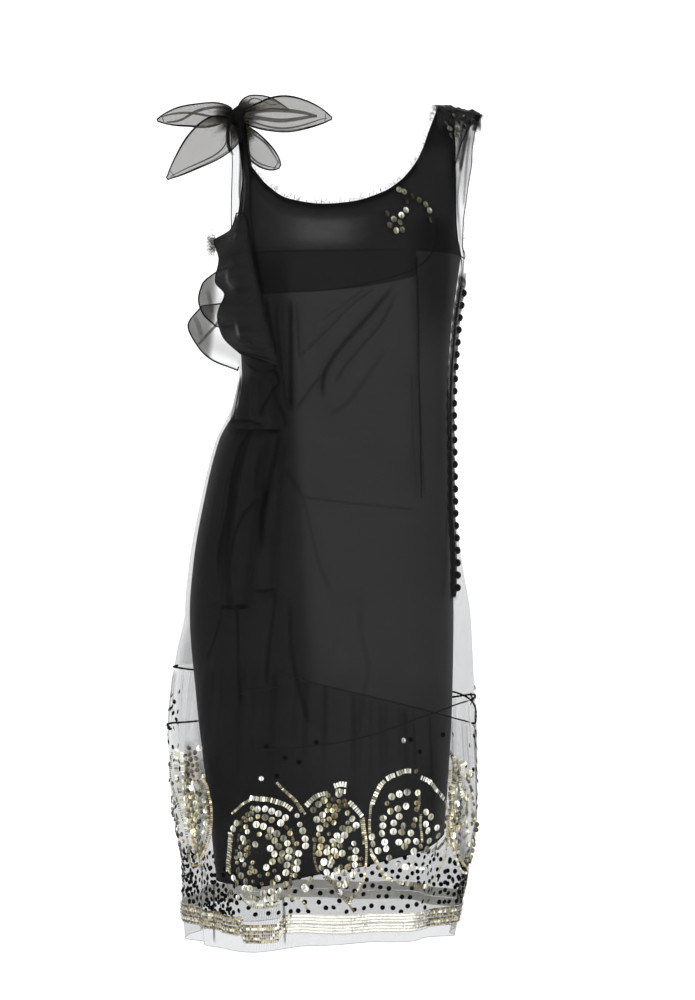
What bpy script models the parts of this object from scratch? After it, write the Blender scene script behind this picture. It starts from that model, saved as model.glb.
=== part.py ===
"""A sleeveless knee-length dress: an opaque slip under a sheer net overdress.

The origin is the middle of the shoulder line, where the wearer holds the dress up. +Z is up, -Y is
the front and +X is the wearer's left. Lengths are in metres. A place on the cloth is given by its
height and by "around", the turns round the body: 0 at the right side seam (-X), 0.25 at the front,
0.5 at the left side seam (+X) and 0.75 at the back.
"""

import math

import bmesh
import bpy
from mathutils import Vector

# Walls and gaps.
SLIP_WALL = 0.0012
NET_WALL = 0.0010
HEM_TAPE_WALL = 0.0010
SEAM_GAP = 0.0003
TAPE_GAP = 0.0004
# How far short of the side seam a panel ends, in turns; the slip's yokes meet there at a corner.
SIDE_SEAM_INSET = 0.0001
YOKE_CORNER_INSET = 0.0006
RIDGE_HALF_GAP = 0.0004
MERGE = 0.00001
INWARDS = -1.0
BOTH_SIDES = 0.0

# How the grids are divided.
FRONT_CELLS = 19
BACK_CELLS = 17
NET_CELLS = 20
YOKE_ROWS = 4
# Heights of the rows between an edge and the next; the slip and the net share them.
BODY_LEVELS = (-0.580, -0.520, -0.460, -0.410, -0.370, -0.340, -0.315, -0.280, -0.250)
SKIRT_LEVELS = (-0.810, -0.750, -0.690, -0.635)
CHEST_LEVEL = -0.214
TIER_LEVELS = (-0.9600, -0.9515, -0.9490, -0.9405, -0.900, -0.855, -0.810, -0.770)

# The body line: the side seams lie at this depth, and this exponent squares the sections.
SIDE_DEPTH = 0.010
FULLNESS = 2.3

# The shoulder slopes down to the arm beyond this x.
SHOULDER_TOP = 0.115
SHOULDER_SLOPE = 0.20
SHOULDER_DEPTH = 0.06
UNDERARM = -0.178

SLIP_SECTIONS = (
    # height, right side x, left side x, front y, back y
    (0.000, -0.186, 0.200, 0.0100, 0.0100),
    (-0.003, -0.185, 0.199, -0.006, 0.025),
    (-0.010, -0.183, 0.196, -0.018, 0.038),
    (-0.022, -0.178, 0.189, -0.031, 0.050),
    (-0.045, -0.167, 0.175, -0.048, 0.066),
    (-0.085, -0.152, 0.156, -0.070, 0.080),
    (-0.130, -0.141, 0.145, -0.089, 0.086),
    (-0.178, -0.133, 0.138, -0.103, 0.085),
    (-0.225, -0.129, 0.1315, -0.111, 0.083),
    (-0.265, -0.126, 0.1265, -0.108, 0.081),
    (-0.320, -0.123, 0.1235, -0.099, 0.080),
    (-0.350, -0.127, 0.1235, -0.097, 0.084),
    (-0.395, -0.150, 0.1245, -0.100, 0.094),
    (-0.467, -0.168, 0.1265, -0.106, 0.112),
    (-0.540, -0.1805, 0.1285, -0.112, 0.122),
    (-0.600, -0.1850, 0.1295, -0.115, 0.124),
    (-0.700, -0.177, 0.128, -0.114, 0.120),
    (-0.800, -0.165, 0.123, -0.110, 0.113),
    (-0.930, -0.150, 0.112, -0.104, 0.104),
)

NET_EASE = (
    # height, ease at right, left, front and back, rise over the shoulder
    (0.000, 0.0030, 0.0030, 0.0030, 0.0030, 0.0032),
    (-0.060, 0.0030, 0.0030, 0.0032, 0.0032, 0.0026),
    (-0.150, 0.0030, 0.0040, 0.0032, 0.0032, 0.0000),
    (-0.220, 0.0030, 0.0065, 0.0032, 0.0032, 0.0000),
    (-0.320, 0.0032, 0.0050, 0.0034, 0.0034, 0.0000),
    (-0.348, 0.0060, 0.0042, 0.0036, 0.0036, 0.0000),
    (-0.362, 0.0056, 0.0040, 0.0036, 0.0036, 0.0000),
    (-0.385, 0.0036, 0.0040, 0.0038, 0.0040, 0.0000),
    (-0.467, 0.0040, 0.0044, 0.0050, 0.0050, 0.0000),
    (-0.540, 0.0050, 0.0110, 0.0090, 0.0090, 0.0000),
    (-0.600, 0.0060, 0.0200, 0.0140, 0.0150, 0.0000),
    (-0.645, 0.0170, 0.0230, 0.0180, 0.0210, 0.0000),
    (-0.690, 0.0280, 0.0260, 0.0230, 0.0270, 0.0000),
    (-0.745, 0.0370, 0.0300, 0.0290, 0.0340, 0.0000),
    (-0.800, 0.0430, 0.0350, 0.0330, 0.0390, 0.0000),
    (-0.850, 0.0440, 0.0380, 0.0350, 0.0400, 0.0000),
    (-0.895, 0.0380, 0.0320, 0.0340, 0.0380, 0.0000),
    (-0.943, 0.0390, 0.0250, 0.0300, 0.0340, 0.0000),
    (-0.990, 0.0350, 0.0150, 0.0270, 0.0300, 0.0000),
)

SLIP_FOLDS = (
    # around, half width, height where it starts, depth at the hem (inwards is negative)
    (0.045, 0.030, -0.56, 0.0030),
    (0.100, 0.024, -0.52, -0.0040),
    (0.150, 0.022, -0.54, -0.0060),
    (0.200, 0.030, -0.60, 0.0040),
    (0.290, 0.036, -0.66, -0.0030),
    (0.390, 0.036, -0.62, 0.0030),
    (0.580, 0.040, -0.55, -0.0040),
    (0.680, 0.040, -0.52, 0.0040),
    (0.780, 0.040, -0.56, -0.0040),
    (0.880, 0.040, -0.54, 0.0040),
)

NET_FOLDS = (
    # around, half width, height where it starts, depth at the hem (inwards is negative)
    (0.020, 0.030, -0.60, 0.0050),
    (0.070, 0.024, -0.68, -0.0080),
    (0.118, 0.028, -0.66, 0.0090),
    (0.184, 0.030, -0.76, 0.0230),
    (0.228, 0.020, -0.72, -0.0090),
    (0.262, 0.024, -0.71, 0.0060),
    (0.303, 0.024, -0.73, -0.0060),
    (0.345, 0.026, -0.72, 0.0070),
    (0.392, 0.024, -0.74, -0.0060),
    (0.438, 0.028, -0.72, 0.0080),
    (0.490, 0.028, -0.73, -0.0050),
    (0.545, 0.030, -0.70, 0.0090),
    (0.600, 0.028, -0.69, -0.0070),
    (0.655, 0.032, -0.68, 0.0110),
    (0.715, 0.030, -0.68, -0.0070),
    (0.770, 0.032, -0.68, 0.0100),
    (0.830, 0.030, -0.68, -0.0080),
    (0.885, 0.030, -0.67, 0.0110),
    (0.945, 0.028, -0.66, -0.0070),
)
FOLD_FULL_AT = -0.93

SLIP_HEM = (
    # around, height
    (0.00, -0.915), (0.13, -0.916), (0.25, -0.896), (0.36, -0.878), (0.50, -0.862),
    (0.75, -0.888), (1.00, -0.915),
)
BAND_SEAM = (
    # around, height
    (0.00, -0.226), (0.10, -0.227), (0.22, -0.226), (0.32, -0.213), (0.38, -0.198), (0.43, -0.188),
    (0.50, -0.184),
)
TIER_SEAM = (
    # around, height
    (0.00, -0.666), (0.12, -0.656), (0.19, -0.659), (0.27, -0.685), (0.35, -0.707), (0.42, -0.723),
    (0.47, -0.730), (0.50, -0.716), (0.58, -0.702), (0.75, -0.690), (0.90, -0.676), (1.00, -0.666),
)
NET_HEM = (
    # around, height
    (0.00, -0.987), (0.10, -0.982), (0.19, -0.981), (0.28, -0.973), (0.40, -0.974), (0.50, -0.981),
    (0.75, -0.985), (1.00, -0.987),
)

FRONT_NECKLINE = (
    # x, height
    (-0.1109, -0.0765), (-0.1055, -0.0835), (-0.0919, -0.0999), (-0.0660, -0.1175), (-0.0242, -0.1245),
    (0.0070, -0.1220), (0.0430, -0.1109), (0.0650, -0.0965), (0.0790, -0.0805), (0.0852, -0.0713),
)
BACK_NECKLINE = (
    # x, height
    (-0.1120, -0.0765), (-0.1050, -0.0860), (-0.0900, -0.0985), (-0.0600, -0.1065), (-0.0200, -0.1085),
    (0.0200, -0.1080), (0.0500, -0.1010), (0.0720, -0.0890), (0.0840, -0.0780), (0.0885, -0.0713),
)
NECKLINE_CELLS = 13

# Straps: height, inner edge x, outer edge x, up to the ridge of the shoulder.
RIGHT_STRAP = (
    (-0.0765, -0.1109, -0.1205),
    (-0.0600, -0.1122, -0.1222),
    (-0.0435, -0.1130, -0.1246),
    (-0.0280, -0.1128, -0.1275),
    (-0.0150, -0.1115, -0.1300),
    (-0.0070, -0.1105, -0.1310),
    (-0.0020, -0.1100, -0.1315),
    (0.0000, -0.1100, -0.1315),
)
LEFT_STRAP = (
    (-0.0713, 0.0852, 0.1295),
    (-0.0560, 0.0920, 0.1345),
    (-0.0400, 0.0975, 0.1445),
    (-0.0260, 0.1025, 0.1520),
    (-0.0150, 0.1065, 0.1565),
    (-0.0070, 0.1095, 0.1590),
    (-0.0020, 0.1110, 0.1600),
    (0.0000, 0.1115, 0.1600),
)
# The slip's left strap is narrower than the net over it.
SLIP_LEFT_STRAP = (
    (-0.0713, 0.0852, 0.1295),
    (-0.0560, 0.0920, 0.1298),
    (-0.0400, 0.0975, 0.1292),
    (-0.0260, 0.1025, 0.1292),
    (-0.0150, 0.1065, 0.1300),
    (-0.0070, 0.1095, 0.1310),
    (-0.0020, 0.1110, 0.1320),
    (0.0000, 0.1115, 0.1320),
)
# The net's straps reach further out, over the arm: right and left at the strap's base.
NET_FRONT_OVERHANGS = (0.0120, 0.0205)
NET_BACK_OVERHANGS = (0.0030, 0.0030)
NET_OVERHANG_AT_RIDGE = 0.0030

# Armholes, from the strap's base down: height, x of the edge at the right and at the left.
ARMHOLE_ROUNDING = 1.5
SLIP_ARMHOLES = (
    (-0.0713, -0.1200, 0.1295), (-0.0900, -0.1200, 0.1302), (-0.1150, -0.1225, 0.1302),
    (-0.1400, -0.1265, 0.1308), (-0.1650, -0.1290, 0.1335),
)
NET_FRONT_ARMHOLES = (
    (-0.0713, -0.1325, 0.1500), (-0.0970, -0.1330, 0.1455), (-0.1100, -0.1335, 0.1435),
    (-0.1400, -0.1340, 0.1395), (-0.1650, -0.1335, 0.1385),
)
NET_BACK_ARMHOLES = (
    (-0.0713, -0.1235, 0.1325), (-0.0900, -0.1235, 0.1322), (-0.1150, -0.1250, 0.1330),
    (-0.1400, -0.1285, 0.1340), (-0.1650, -0.1315, 0.1365),
)

# Button stand and buttons, down the wearer's left side.
BUTTON_LINE = (
    # height, around
    (-0.214, 0.460), (-0.245, 0.455), (-0.290, 0.459), (-0.330, 0.456), (-0.400, 0.454),
    (-0.460, 0.450), (-0.500, 0.443), (-0.540, 0.432), (-0.580, 0.415),
)
BUTTON_COUNT = 25
BUTTON_RADIUS = 0.0046
BUTTON_THICKNESS = 0.0072
STAND_WIDTH = 0.0095
STAND_WALL = 0.0010
STAND_FACE = 0.0021
STAND_TOP = -0.214
STAND_BOTTOM = -0.580
STAND_CELLS = 30
FIRST_BUTTON = -0.222
LAST_BUTTON = -0.570

# Bow: knot and petals.
KNOT_CENTRE = (-0.1262, -0.0320, -0.0160)
KNOT_SIZE = (0.0085, 0.0070, 0.0120)
KNOT_PLEATS = 4
KNOT_PLEAT_SHARE = 0.06
PETAL_WALL = 0.0010
PETAL_TIP_WIDTH = 0.03
PETAL_ROOT_SHARE = 0.08
PETALS = (
    # root, bend, tip, widest half width, way across, cup, exponent that moves the widest place,
    # exponent that makes the ends rounder
    ((-0.1340, -0.0320, -0.0113), (-0.176, -0.036, -0.0140), (-0.221, -0.030, -0.0190),
     0.0188, (0.10, -0.70, 0.60), 0.0040, 0.85, 0.65),
    ((-0.1311, -0.0351, -0.0239), (-0.167, -0.052, -0.0530), (-0.2085, -0.046, -0.0895),
     0.0258, (0.68, -0.25, -0.72), 0.0050, 0.65, 0.75),
    ((-0.1229, -0.0275, -0.0070), (-0.098, -0.004, 0.0065), (-0.067, 0.032, 0.002),
     0.0115, (-0.35, 0.30, 0.70), 0.0030, 0.85, 0.75),
    ((-0.1184, -0.0347, -0.0151), (-0.068, -0.055, -0.0150), (-0.0155, -0.058, -0.0205),
     0.0228, (0.05, 0.30, 0.95), 0.0050, 1.00, 0.75),
    ((-0.1215, -0.0192, -0.0280), (-0.102, -0.0290, -0.0545), (-0.0765, -0.0450, -0.0755),
     0.0150, (0.70, -0.24, 0.68), -0.0020, 1.10, 0.50),
)

# Edges sewn to the net lie this far out from it.
FRILL_LIFT = 0.0010
FLOUNCE_LIFT = 0.0005
TAIL_EDGE_LIFT = 0.0003
DRAPE_EDGE_LIFT = 0.0017

FRILL_WALL = 0.0010
FRILL_WAVES = 4.5
FRILL_WAVE_DEPTH = 0.0060
FRILL_BELLY = 0.0100
FRILL = (
    # share of its length, x and height of the sewn edge, x, y and height of the free edge
    (0.00, -0.1150, -0.1330, -0.1270, -0.0520, -0.1310),
    (0.08, -0.1125, -0.1445, -0.1345, -0.0450, -0.1490),
    (0.16, -0.1100, -0.1560, -0.1530, -0.0400, -0.1630),
    (0.28, -0.1060, -0.1760, -0.1480, -0.0480, -0.1840),
    (0.42, -0.1000, -0.2050, -0.1520, -0.0450, -0.2100),
    (0.53, -0.0945, -0.2290, -0.1410, -0.0560, -0.2260),
    (0.68, -0.0860, -0.2600, -0.1495, -0.0500, -0.2520),
    (0.80, -0.0790, -0.2870, -0.1430, -0.0540, -0.2750),
    (1.00, -0.0720, -0.3130, -0.1230, -0.0520, -0.2950),
)
FLOUNCE_WALL = 0.0010
FLOUNCE_UPPER = (
    # share, around and height of the sewn edge, x, y and height of the free edge
    (0.00, 0.030, -0.1900, -0.1500, -0.0180, -0.1950),
    (0.25, 0.028, -0.2080, -0.1680, -0.0240, -0.2110),
    (0.50, 0.026, -0.2270, -0.1735, -0.0140, -0.2290),
    (0.75, 0.024, -0.2460, -0.1680, -0.0240, -0.2460),
    (1.00, 0.022, -0.2620, -0.1530, -0.0160, -0.2610),
)
FLOUNCE_LOWER = (
    # share, around and height of the sewn edge, x, y and height of the free edge
    (0.00, 0.994, -0.2300, -0.1710, 0.0100, -0.2350),
    (0.25, 0.994, -0.2500, -0.1870, 0.0040, -0.2590),
    (0.48, 0.994, -0.2700, -0.1765, 0.0120, -0.2820),
    (0.72, 0.994, -0.2860, -0.1610, 0.0060, -0.2980),
    (1.00, 0.994, -0.3020, -0.1380, 0.0080, -0.3110),
)
DRAPE_WALL = 0.0012
DRAPE = (
    # height, right edge x, left edge x, how far it stands off the net at its middle
    (-0.3180, -0.1220, -0.0790, 0.0090),
    (-0.3330, -0.1230, -0.0770, 0.0110),
    (-0.3500, -0.1260, -0.0740, 0.0130),
    (-0.3680, -0.1300, -0.0690, 0.0150),
    (-0.3850, -0.1350, -0.0665, 0.0160),
)
DRAPE_PLEATS = 3.5
DRAPE_PLEAT_DEPTH = 0.0020
TAIL_WALL = 0.0012
TAILS = (
    # rows of height, right edge x, left edge x, stand-off at the middle
    ((-0.3880, -0.1260, -0.1105, 0.0060), (-0.4670, -0.1390, -0.1270, 0.0060),
     (-0.5380, -0.1490, -0.1340, 0.0050), (-0.5890, -0.1500, -0.1300, 0.0045)),
    ((-0.3880, -0.1080, -0.0790, 0.0100), (-0.4670, -0.1245, -0.0920, 0.0120),
     (-0.5380, -0.1315, -0.1025, 0.0110), (-0.5920, -0.1275, -0.1080, 0.0080)),
    ((-0.3880, -0.0765, -0.0660, 0.0080), (-0.4670, -0.0895, -0.0705, 0.0090),
     (-0.5380, -0.1000, -0.0760, 0.0090), (-0.5760, -0.1050, -0.0800, 0.0060)),
)

COLOURS = {
    # name: base colour, roughness
    "slip_silk": ((0.020, 0.020, 0.021), 0.55),
    "yoke_chiffon": ((0.040, 0.040, 0.041), 0.60),
    "net": ((0.050, 0.050, 0.052), 0.65),
    "organza": ((0.090, 0.087, 0.085), 0.45),
    "button_silk": ((0.018, 0.018, 0.018), 0.45),
    "sequin_tape": ((0.420, 0.390, 0.270), 0.30),
}


def slope(rows, index, column):
    """Tangent at a row of a monotone curve: flat where the values turn, and at the ends a chord."""
    def chord(first):
        return (rows[first + 1][column] - rows[first][column]) / (rows[first + 1][0] - rows[first][0])

    if index == 0:
        return chord(0)
    if index == len(rows) - 1:
        return chord(index - 1)
    before = chord(index - 1)
    after = chord(index)
    if before * after <= 0:
        return 0.0
    return 2 * before * after / (before + after)


def blend(table, key):
    """The other columns of a table at a key in its first column, on smooth curves through its rows."""
    rows = sorted(table)
    if key <= rows[0][0]:
        return rows[0][1:]
    if key >= rows[-1][0]:
        return rows[-1][1:]
    index = max(i for i, row in enumerate(rows) if row[0] <= key)
    low = rows[index]
    high = rows[index + 1]
    span = high[0] - low[0]
    t = (key - low[0]) / span
    values = []
    for column in range(1, len(low)):
        start = slope(rows, index, column) * span
        end = slope(rows, index + 1, column) * span
        values.append((2 * t**3 - 3 * t**2 + 1) * low[column] + (t**3 - 2 * t**2 + t) * start
                      + (3 * t**2 - 2 * t**3) * high[column] + (t**3 - t**2) * end)
    return values


def smooth_step(value):
    value = min(max(value, 0.0), 1.0)
    return value * value * (3 - 2 * value)


def fold_depth(folds, around, height):
    """How far the folds push the cloth out at a place, full at the hem and none where they start."""
    total = 0.0
    for centre, half_width, start, depth in folds:
        distance = abs((around - centre + 0.5) % 1.0 - 0.5)
        if distance < 2 * half_width and height < start:
            growth = smooth_step((start - height) / (start - FOLD_FULL_AT))
            total += depth * growth * math.cos(distance / half_width * math.pi / 4) ** 2
    return total


def section_point(section, around, height, outwards):
    """A point on the squared ellipse of one section, pushed outwards."""
    right, left, front, back = section
    angle = 2 * math.pi * around
    along = math.cos(angle)
    across = math.sin(angle)
    power = 2 / FULLNESS
    half_width = (left - right) / 2 + outwards
    depth = (SIDE_DEPTH - front if across > 0 else back - SIDE_DEPTH) + outwards
    x = (left + right) / 2 - half_width * math.copysign(abs(along) ** power, along)
    y = SIDE_DEPTH - depth * math.copysign(abs(across) ** power, across)
    return Vector((x, y, height))


def slip_point(around, height, outwards=0.0):
    outwards += fold_depth(SLIP_FOLDS, around, height)
    return section_point(blend(SLIP_SECTIONS, height), around, height, outwards)


def net_point(around, height, outwards=0.0):
    *ease, rise = blend(NET_EASE, height)
    right, left, front, back = blend(SLIP_SECTIONS, height)
    section = (right - ease[0], left + ease[1], front - ease[2], back + ease[3])
    outwards += fold_depth(NET_FOLDS, around, height)
    return section_point(section, around, height + rise, outwards)


def around_at(point, x, height, back=False):
    """The place around a surface where a front or back point has this x."""
    right_side = point(0.0, height).x
    left_side = point(0.5, height).x
    share = ((left_side + right_side) / 2 - x) / ((left_side - right_side) / 2)
    share = min(max(share, -1.0), 1.0)
    around = math.acos(math.copysign(abs(share) ** (FULLNESS / 2), share)) / (2 * math.pi)
    return 1.0 - around if back else around


def shoulder_drop(x, height):
    """The shoulder slopes down to the arm, less and less below its ridge."""
    weight = smooth_step(1 + height / SHOULDER_DEPTH)
    return SHOULDER_SLOPE * max(abs(x) - SHOULDER_TOP, 0.0) * weight


def on_surface(point, x, height, back):
    place = point(around_at(point, x, height, back), height)
    place.z -= shoulder_drop(x, height)
    return place


def evenly(count, start, end):
    return [start + (end - start) * index / count for index in range(count + 1)]


def along_curve(table, count):
    """Points spaced evenly by length on the smooth curve through a table's rows of x and height."""
    samples = 200
    fine = [(x, blend(table, x)[0]) for x in evenly(samples, table[0][0], table[-1][0])]
    lengths = [0.0]
    for before, after in zip(fine, fine[1:]):
        lengths.append(lengths[-1] + math.dist(before, after))
    points = []
    for target in evenly(count, 0.0, lengths[-1]):
        index = next(i for i in range(1, len(fine)) if lengths[i] >= target - 1e-9)
        share = (target - lengths[index - 1]) / (lengths[index] - lengths[index - 1])
        points.append(tuple(a + (b - a) * share for a, b in zip(fine[index - 1], fine[index])))
    return points


def coons_patch(bottom, top, right, left):
    """Rows of (x, height) points inside four edges, each edge a list of such points."""
    rows = []
    for i in range(len(right)):
        v = i / (len(right) - 1)
        row = []
        for j in range(len(bottom)):
            u = j / (len(bottom) - 1)
            row.append(tuple(
                (1 - v) * bottom[j][k] + v * top[j][k] + (1 - u) * right[i][k] + u * left[i][k]
                - (1 - u) * (1 - v) * bottom[0][k] - u * (1 - v) * bottom[-1][k]
                - (1 - u) * v * top[0][k] - u * v * top[-1][k]
                for k in range(2)))
        rows.append(row)
    return rows


def armhole_edge(seam, armholes, column, base):
    """Points up an armhole, from the side seam at the underarm to the strap's base."""
    edge = [seam]
    for share in evenly(YOKE_ROWS, 0.0, 1.0)[1:-1]:
        height = seam[1] + (base[1] - seam[1]) * share ** ARMHOLE_ROUNDING
        edge.append((blend(armholes, height)[column], height))
    edge.append(base)
    return edge


def strap_rows(table, overhang, cells):
    """Rows of (x, height) points across a strap, from its base to the shoulder's ridge."""
    rows = []
    last = len(table) - 1
    for index, (height, inner, outer) in enumerate(table):
        reach = overhang + (NET_OVERHANG_AT_RIDGE - overhang) * index / last if overhang else 0.0
        outer += math.copysign(reach, outer)
        across = evenly(cells, outer, inner) if outer < 0 else evenly(cells, inner, outer)
        rows.append([(x, height) for x in across])
    return rows


def yoke_grids(point, neckline, armholes, overhangs, left_table, strap_cells, back,
               inset=SIDE_SEAM_INSET):
    """The yoke and its two straps, as grids of points that share their edges."""
    right_strap = strap_rows(RIGHT_STRAP, overhangs[0], strap_cells[0])
    left_strap = strap_rows(left_table, overhangs[1], strap_cells[1])
    neck = along_curve(neckline, NECKLINE_CELLS)
    top = right_strap[0][:-1] + neck + left_strap[0][1:]
    cells = len(top) - 1
    arounds = evenly(cells, 0.0, 0.5)
    bottom = [(point(around, UNDERARM).x, UNDERARM) for around in arounds]
    right = armhole_edge(bottom[0], armholes, 0, top[0])
    left = armhole_edge(bottom[-1], armholes, 1, top[-1])
    right_strap[0][-1] = neck[0]
    left_strap[0][0] = neck[-1]
    flat_grids = [coons_patch(bottom, top, right, left), right_strap, left_strap]
    ridge = SIDE_DEPTH + (RIDGE_HALF_GAP if back else -RIDGE_HALF_GAP)
    grids = []
    for flat in flat_grids:
        grid = [[on_surface(point, x, height, back) for x, height in row] for row in flat]
        if back:
            grid = [row[::-1] for row in grid]
        grids.append(grid)
    for grid in grids[1:]:
        for place in grid[-1]:
            place.y = ridge
    grids[0][0] = [point(around, UNDERARM) for around in side_to_side(cells, back, inset)]
    return grids


def side_to_side(cells, back=False, inset=SIDE_SEAM_INSET):
    """Places from one side seam to the other, each end a little short of it."""
    start = 0.5 if back else 0.0
    return evenly(cells, start + inset, start + 0.5 - inset)


def panel(point, arounds, lower, levels, upper):
    """Rows of points: a lower edge, level rows and an upper edge. An edge is a height or a table."""
    def edge_row(edge):
        if isinstance(edge, tuple):
            return [point(around, blend(edge, around)[0]) for around in arounds]
        return [point(around, edge) for around in arounds]

    return [edge_row(lower), *(edge_row(level) for level in levels), edge_row(upper)]


def shifted(table, distance):
    return tuple((around, height + distance) for around, height in table)


def make_material(name):
    colour, roughness = COLOURS[name]
    material = bpy.data.materials.new(name)
    material.use_nodes = True
    shader = material.node_tree.nodes["Principled BSDF"]
    shader.inputs["Base Color"].default_value = (*colour, 1.0)
    shader.inputs["Roughness"].default_value = roughness
    shader.inputs["Metallic"].default_value = 0.0
    return material


def add_object(name, mesh, material, parts):
    mesh.materials.append(material)
    mesh.shade_smooth()
    thing = bpy.data.objects.new(name, mesh)
    parts.objects.link(thing)
    return thing


def outside(gap, wall):
    """The side for a wall that lies outside its grid, with a gap to it."""
    return 1.0 + 2 * gap / wall


def add_cloth(name, grids, wall, material, parts, side=INWARDS):
    """A sheet through grids of points, thickened to a wall on one side or on both."""
    shape = bmesh.new()
    for grid in grids:
        vertices = [[shape.verts.new(place) for place in row] for row in grid]
        for lower, upper in zip(vertices, vertices[1:]):
            for index in range(len(lower) - 1):
                shape.faces.new((lower[index], lower[index + 1], upper[index + 1], upper[index]))
    bmesh.ops.remove_doubles(shape, verts=shape.verts, dist=MERGE)
    mesh = bpy.data.meshes.new(name)
    shape.to_mesh(mesh)
    shape.free()
    thing = add_object(name, mesh, material, parts)
    shell = thing.modifiers.new("wall", "SOLIDIFY")
    shell.thickness = wall
    shell.offset = side
    return thing


def slip_pieces(materials, parts):
    silk = materials["slip_silk"]
    chiffon = materials["yoke_chiffon"]
    half_gap = SEAM_GAP / 2
    front = side_to_side(FRONT_CELLS)
    back = side_to_side(BACK_CELLS, back=True)
    levels = SKIRT_LEVELS + BODY_LEVELS
    body = panel(slip_point, front, SLIP_HEM, levels, shifted(BAND_SEAM, -half_gap))
    add_cloth("slip_front_body", [body], SLIP_WALL, silk, parts)
    band = panel(slip_point, front, shifted(BAND_SEAM, half_gap), (), UNDERARM - SEAM_GAP)
    add_cloth("slip_front_band", [band], SLIP_WALL, silk, parts)
    body = panel(slip_point, back, SLIP_HEM, levels + (CHEST_LEVEL,), UNDERARM - SEAM_GAP)
    add_cloth("slip_back_body", [body], SLIP_WALL, silk, parts)
    for name, neckline, back_side in (("slip_front_yoke", FRONT_NECKLINE, False),
                                      ("slip_back_yoke", BACK_NECKLINE, True)):
        grids = yoke_grids(slip_point, neckline, SLIP_ARMHOLES, (0.0, 0.0), SLIP_LEFT_STRAP, (2, 4),
                           back_side, YOKE_CORNER_INSET)
        add_cloth(name, grids, SLIP_WALL, chiffon, parts)


def straighten_between(row):
    """Every second point goes midway between its neighbours, to meet an edge with half the cells."""
    for index in range(1, len(row) - 1, 2):
        row[index] = (row[index - 1] + row[index + 1]) / 2


def net_pieces(materials, parts):
    net = materials["net"]
    half_gap = SEAM_GAP / 2
    strap_cells = (2, 5)
    levels = BODY_LEVELS + (CHEST_LEVEL,)
    for side, neckline, armholes, overhangs in (
            ("front", FRONT_NECKLINE, NET_FRONT_ARMHOLES, NET_FRONT_OVERHANGS),
            ("back", BACK_NECKLINE, NET_BACK_ARMHOLES, NET_BACK_OVERHANGS)):
        back_side = side == "back"
        grids = yoke_grids(net_point, neckline, armholes, overhangs, LEFT_STRAP, strap_cells, back_side)
        arounds = side_to_side(NET_CELLS, back_side)
        body = panel(net_point, arounds, shifted(TIER_SEAM, half_gap), levels, UNDERARM)
        add_cloth(f"net_{side}_upper", [body, *grids], NET_WALL, net, parts)
        arounds = side_to_side(2 * NET_CELLS, back_side)
        tier = panel(net_point, arounds, NET_HEM, TIER_LEVELS, shifted(TIER_SEAM, -half_gap))
        straighten_between(tier[-1])
        add_cloth(f"net_{side}_lower", [tier], NET_WALL, net, parts)


def hem_tapes(materials, parts):
    """Rows of tape round the hem, made from the lower tier's places and moved out."""
    arounds = side_to_side(2 * NET_CELLS) + side_to_side(2 * NET_CELLS, back=True)
    edges = (TIER_LEVELS[0:2], TIER_LEVELS[2:4])
    side = outside(TAPE_GAP, HEM_TAPE_WALL)
    for name, heights in zip(("hem_tape_lower", "hem_tape_upper"), edges):
        grid = []
        for height in heights:
            row = [net_point(around, height) for around in arounds]
            grid.append(row + [row[0].copy()])
        add_cloth(name, [grid], HEM_TAPE_WALL, materials["sequin_tape"], parts, side)


def facing(point, around, height):
    """A place on a surface with its outward direction and the direction up along it."""
    step_around = 0.004
    step_height = 0.004
    centre = point(around, height)
    along = point(around + step_around, height) - point(around - step_around, height)
    up = (point(around, height + step_height) - point(around, height - step_height)).normalized()
    out = along.cross(up).normalized()
    return centre, out, up


def button_place(height):
    return facing(net_point, blend(BUTTON_LINE, height)[0], height)


def button_pieces(materials, parts):
    """The stand, a narrow strip on the net, and the covered buttons on it."""
    grid = []
    for height in evenly(STAND_CELLS, STAND_BOTTOM, STAND_TOP):
        centre, out, up = button_place(height)
        across = up.cross(out)
        lift = out * STAND_FACE
        grid.append([centre + lift - across * STAND_WIDTH / 2, centre + lift + across * STAND_WIDTH / 2])
    add_cloth("button_stand", [grid], STAND_WALL, materials["button_silk"], parts)
    shape = bmesh.new()
    bmesh.ops.create_uvsphere(shape, u_segments=8, v_segments=5, radius=1.0)
    for vertex in shape.verts:
        vertex.co.x *= BUTTON_RADIUS
        vertex.co.y *= BUTTON_RADIUS
        vertex.co.z *= BUTTON_THICKNESS / 2
    mesh = bpy.data.meshes.new("button")
    shape.to_mesh(mesh)
    shape.free()
    for index, height in enumerate(evenly(BUTTON_COUNT - 1, FIRST_BUTTON, LAST_BUTTON)):
        centre, out, _ = button_place(height)
        copy = mesh.copy()
        button = add_object(f"button_{index + 1:02d}", copy, materials["button_silk"], parts)
        button.location = centre + out * (STAND_FACE + SEAM_GAP + BUTTON_THICKNESS / 2)
        button.rotation_euler = out.to_track_quat("Z", "Y").to_euler()


def petal_grid(root, bend, tip, half_width, across, cup, widest, rounder):
    """A leaf on a curve from its root to its tip, cupped across."""
    root, bend, tip, across = (Vector(value) for value in (root, bend, tip, across))
    across = across.normalized()
    control = 2 * bend - (root + tip) / 2
    grid = []
    for share in evenly(8, 0.0, 1.0):
        centre = (1 - share)**2 * root + 2 * share * (1 - share) * control + share**2 * tip
        direction = ((control - root) * (1 - share) + (tip - control) * share).normalized()
        sideways = (across - direction * across.dot(direction)).normalized()
        rise = direction.cross(sideways)
        way = PETAL_ROOT_SHARE + (1 - PETAL_ROOT_SHARE) * share ** widest
        swell = max(math.sin(math.pi * way), PETAL_TIP_WIDTH) ** rounder
        row = []
        for side in evenly(4, -1.0, 1.0):
            row.append(centre + sideways * side * half_width * swell + rise * cup * swell * (1 - side**2))
        grid.append(row)
    return grid


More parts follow.
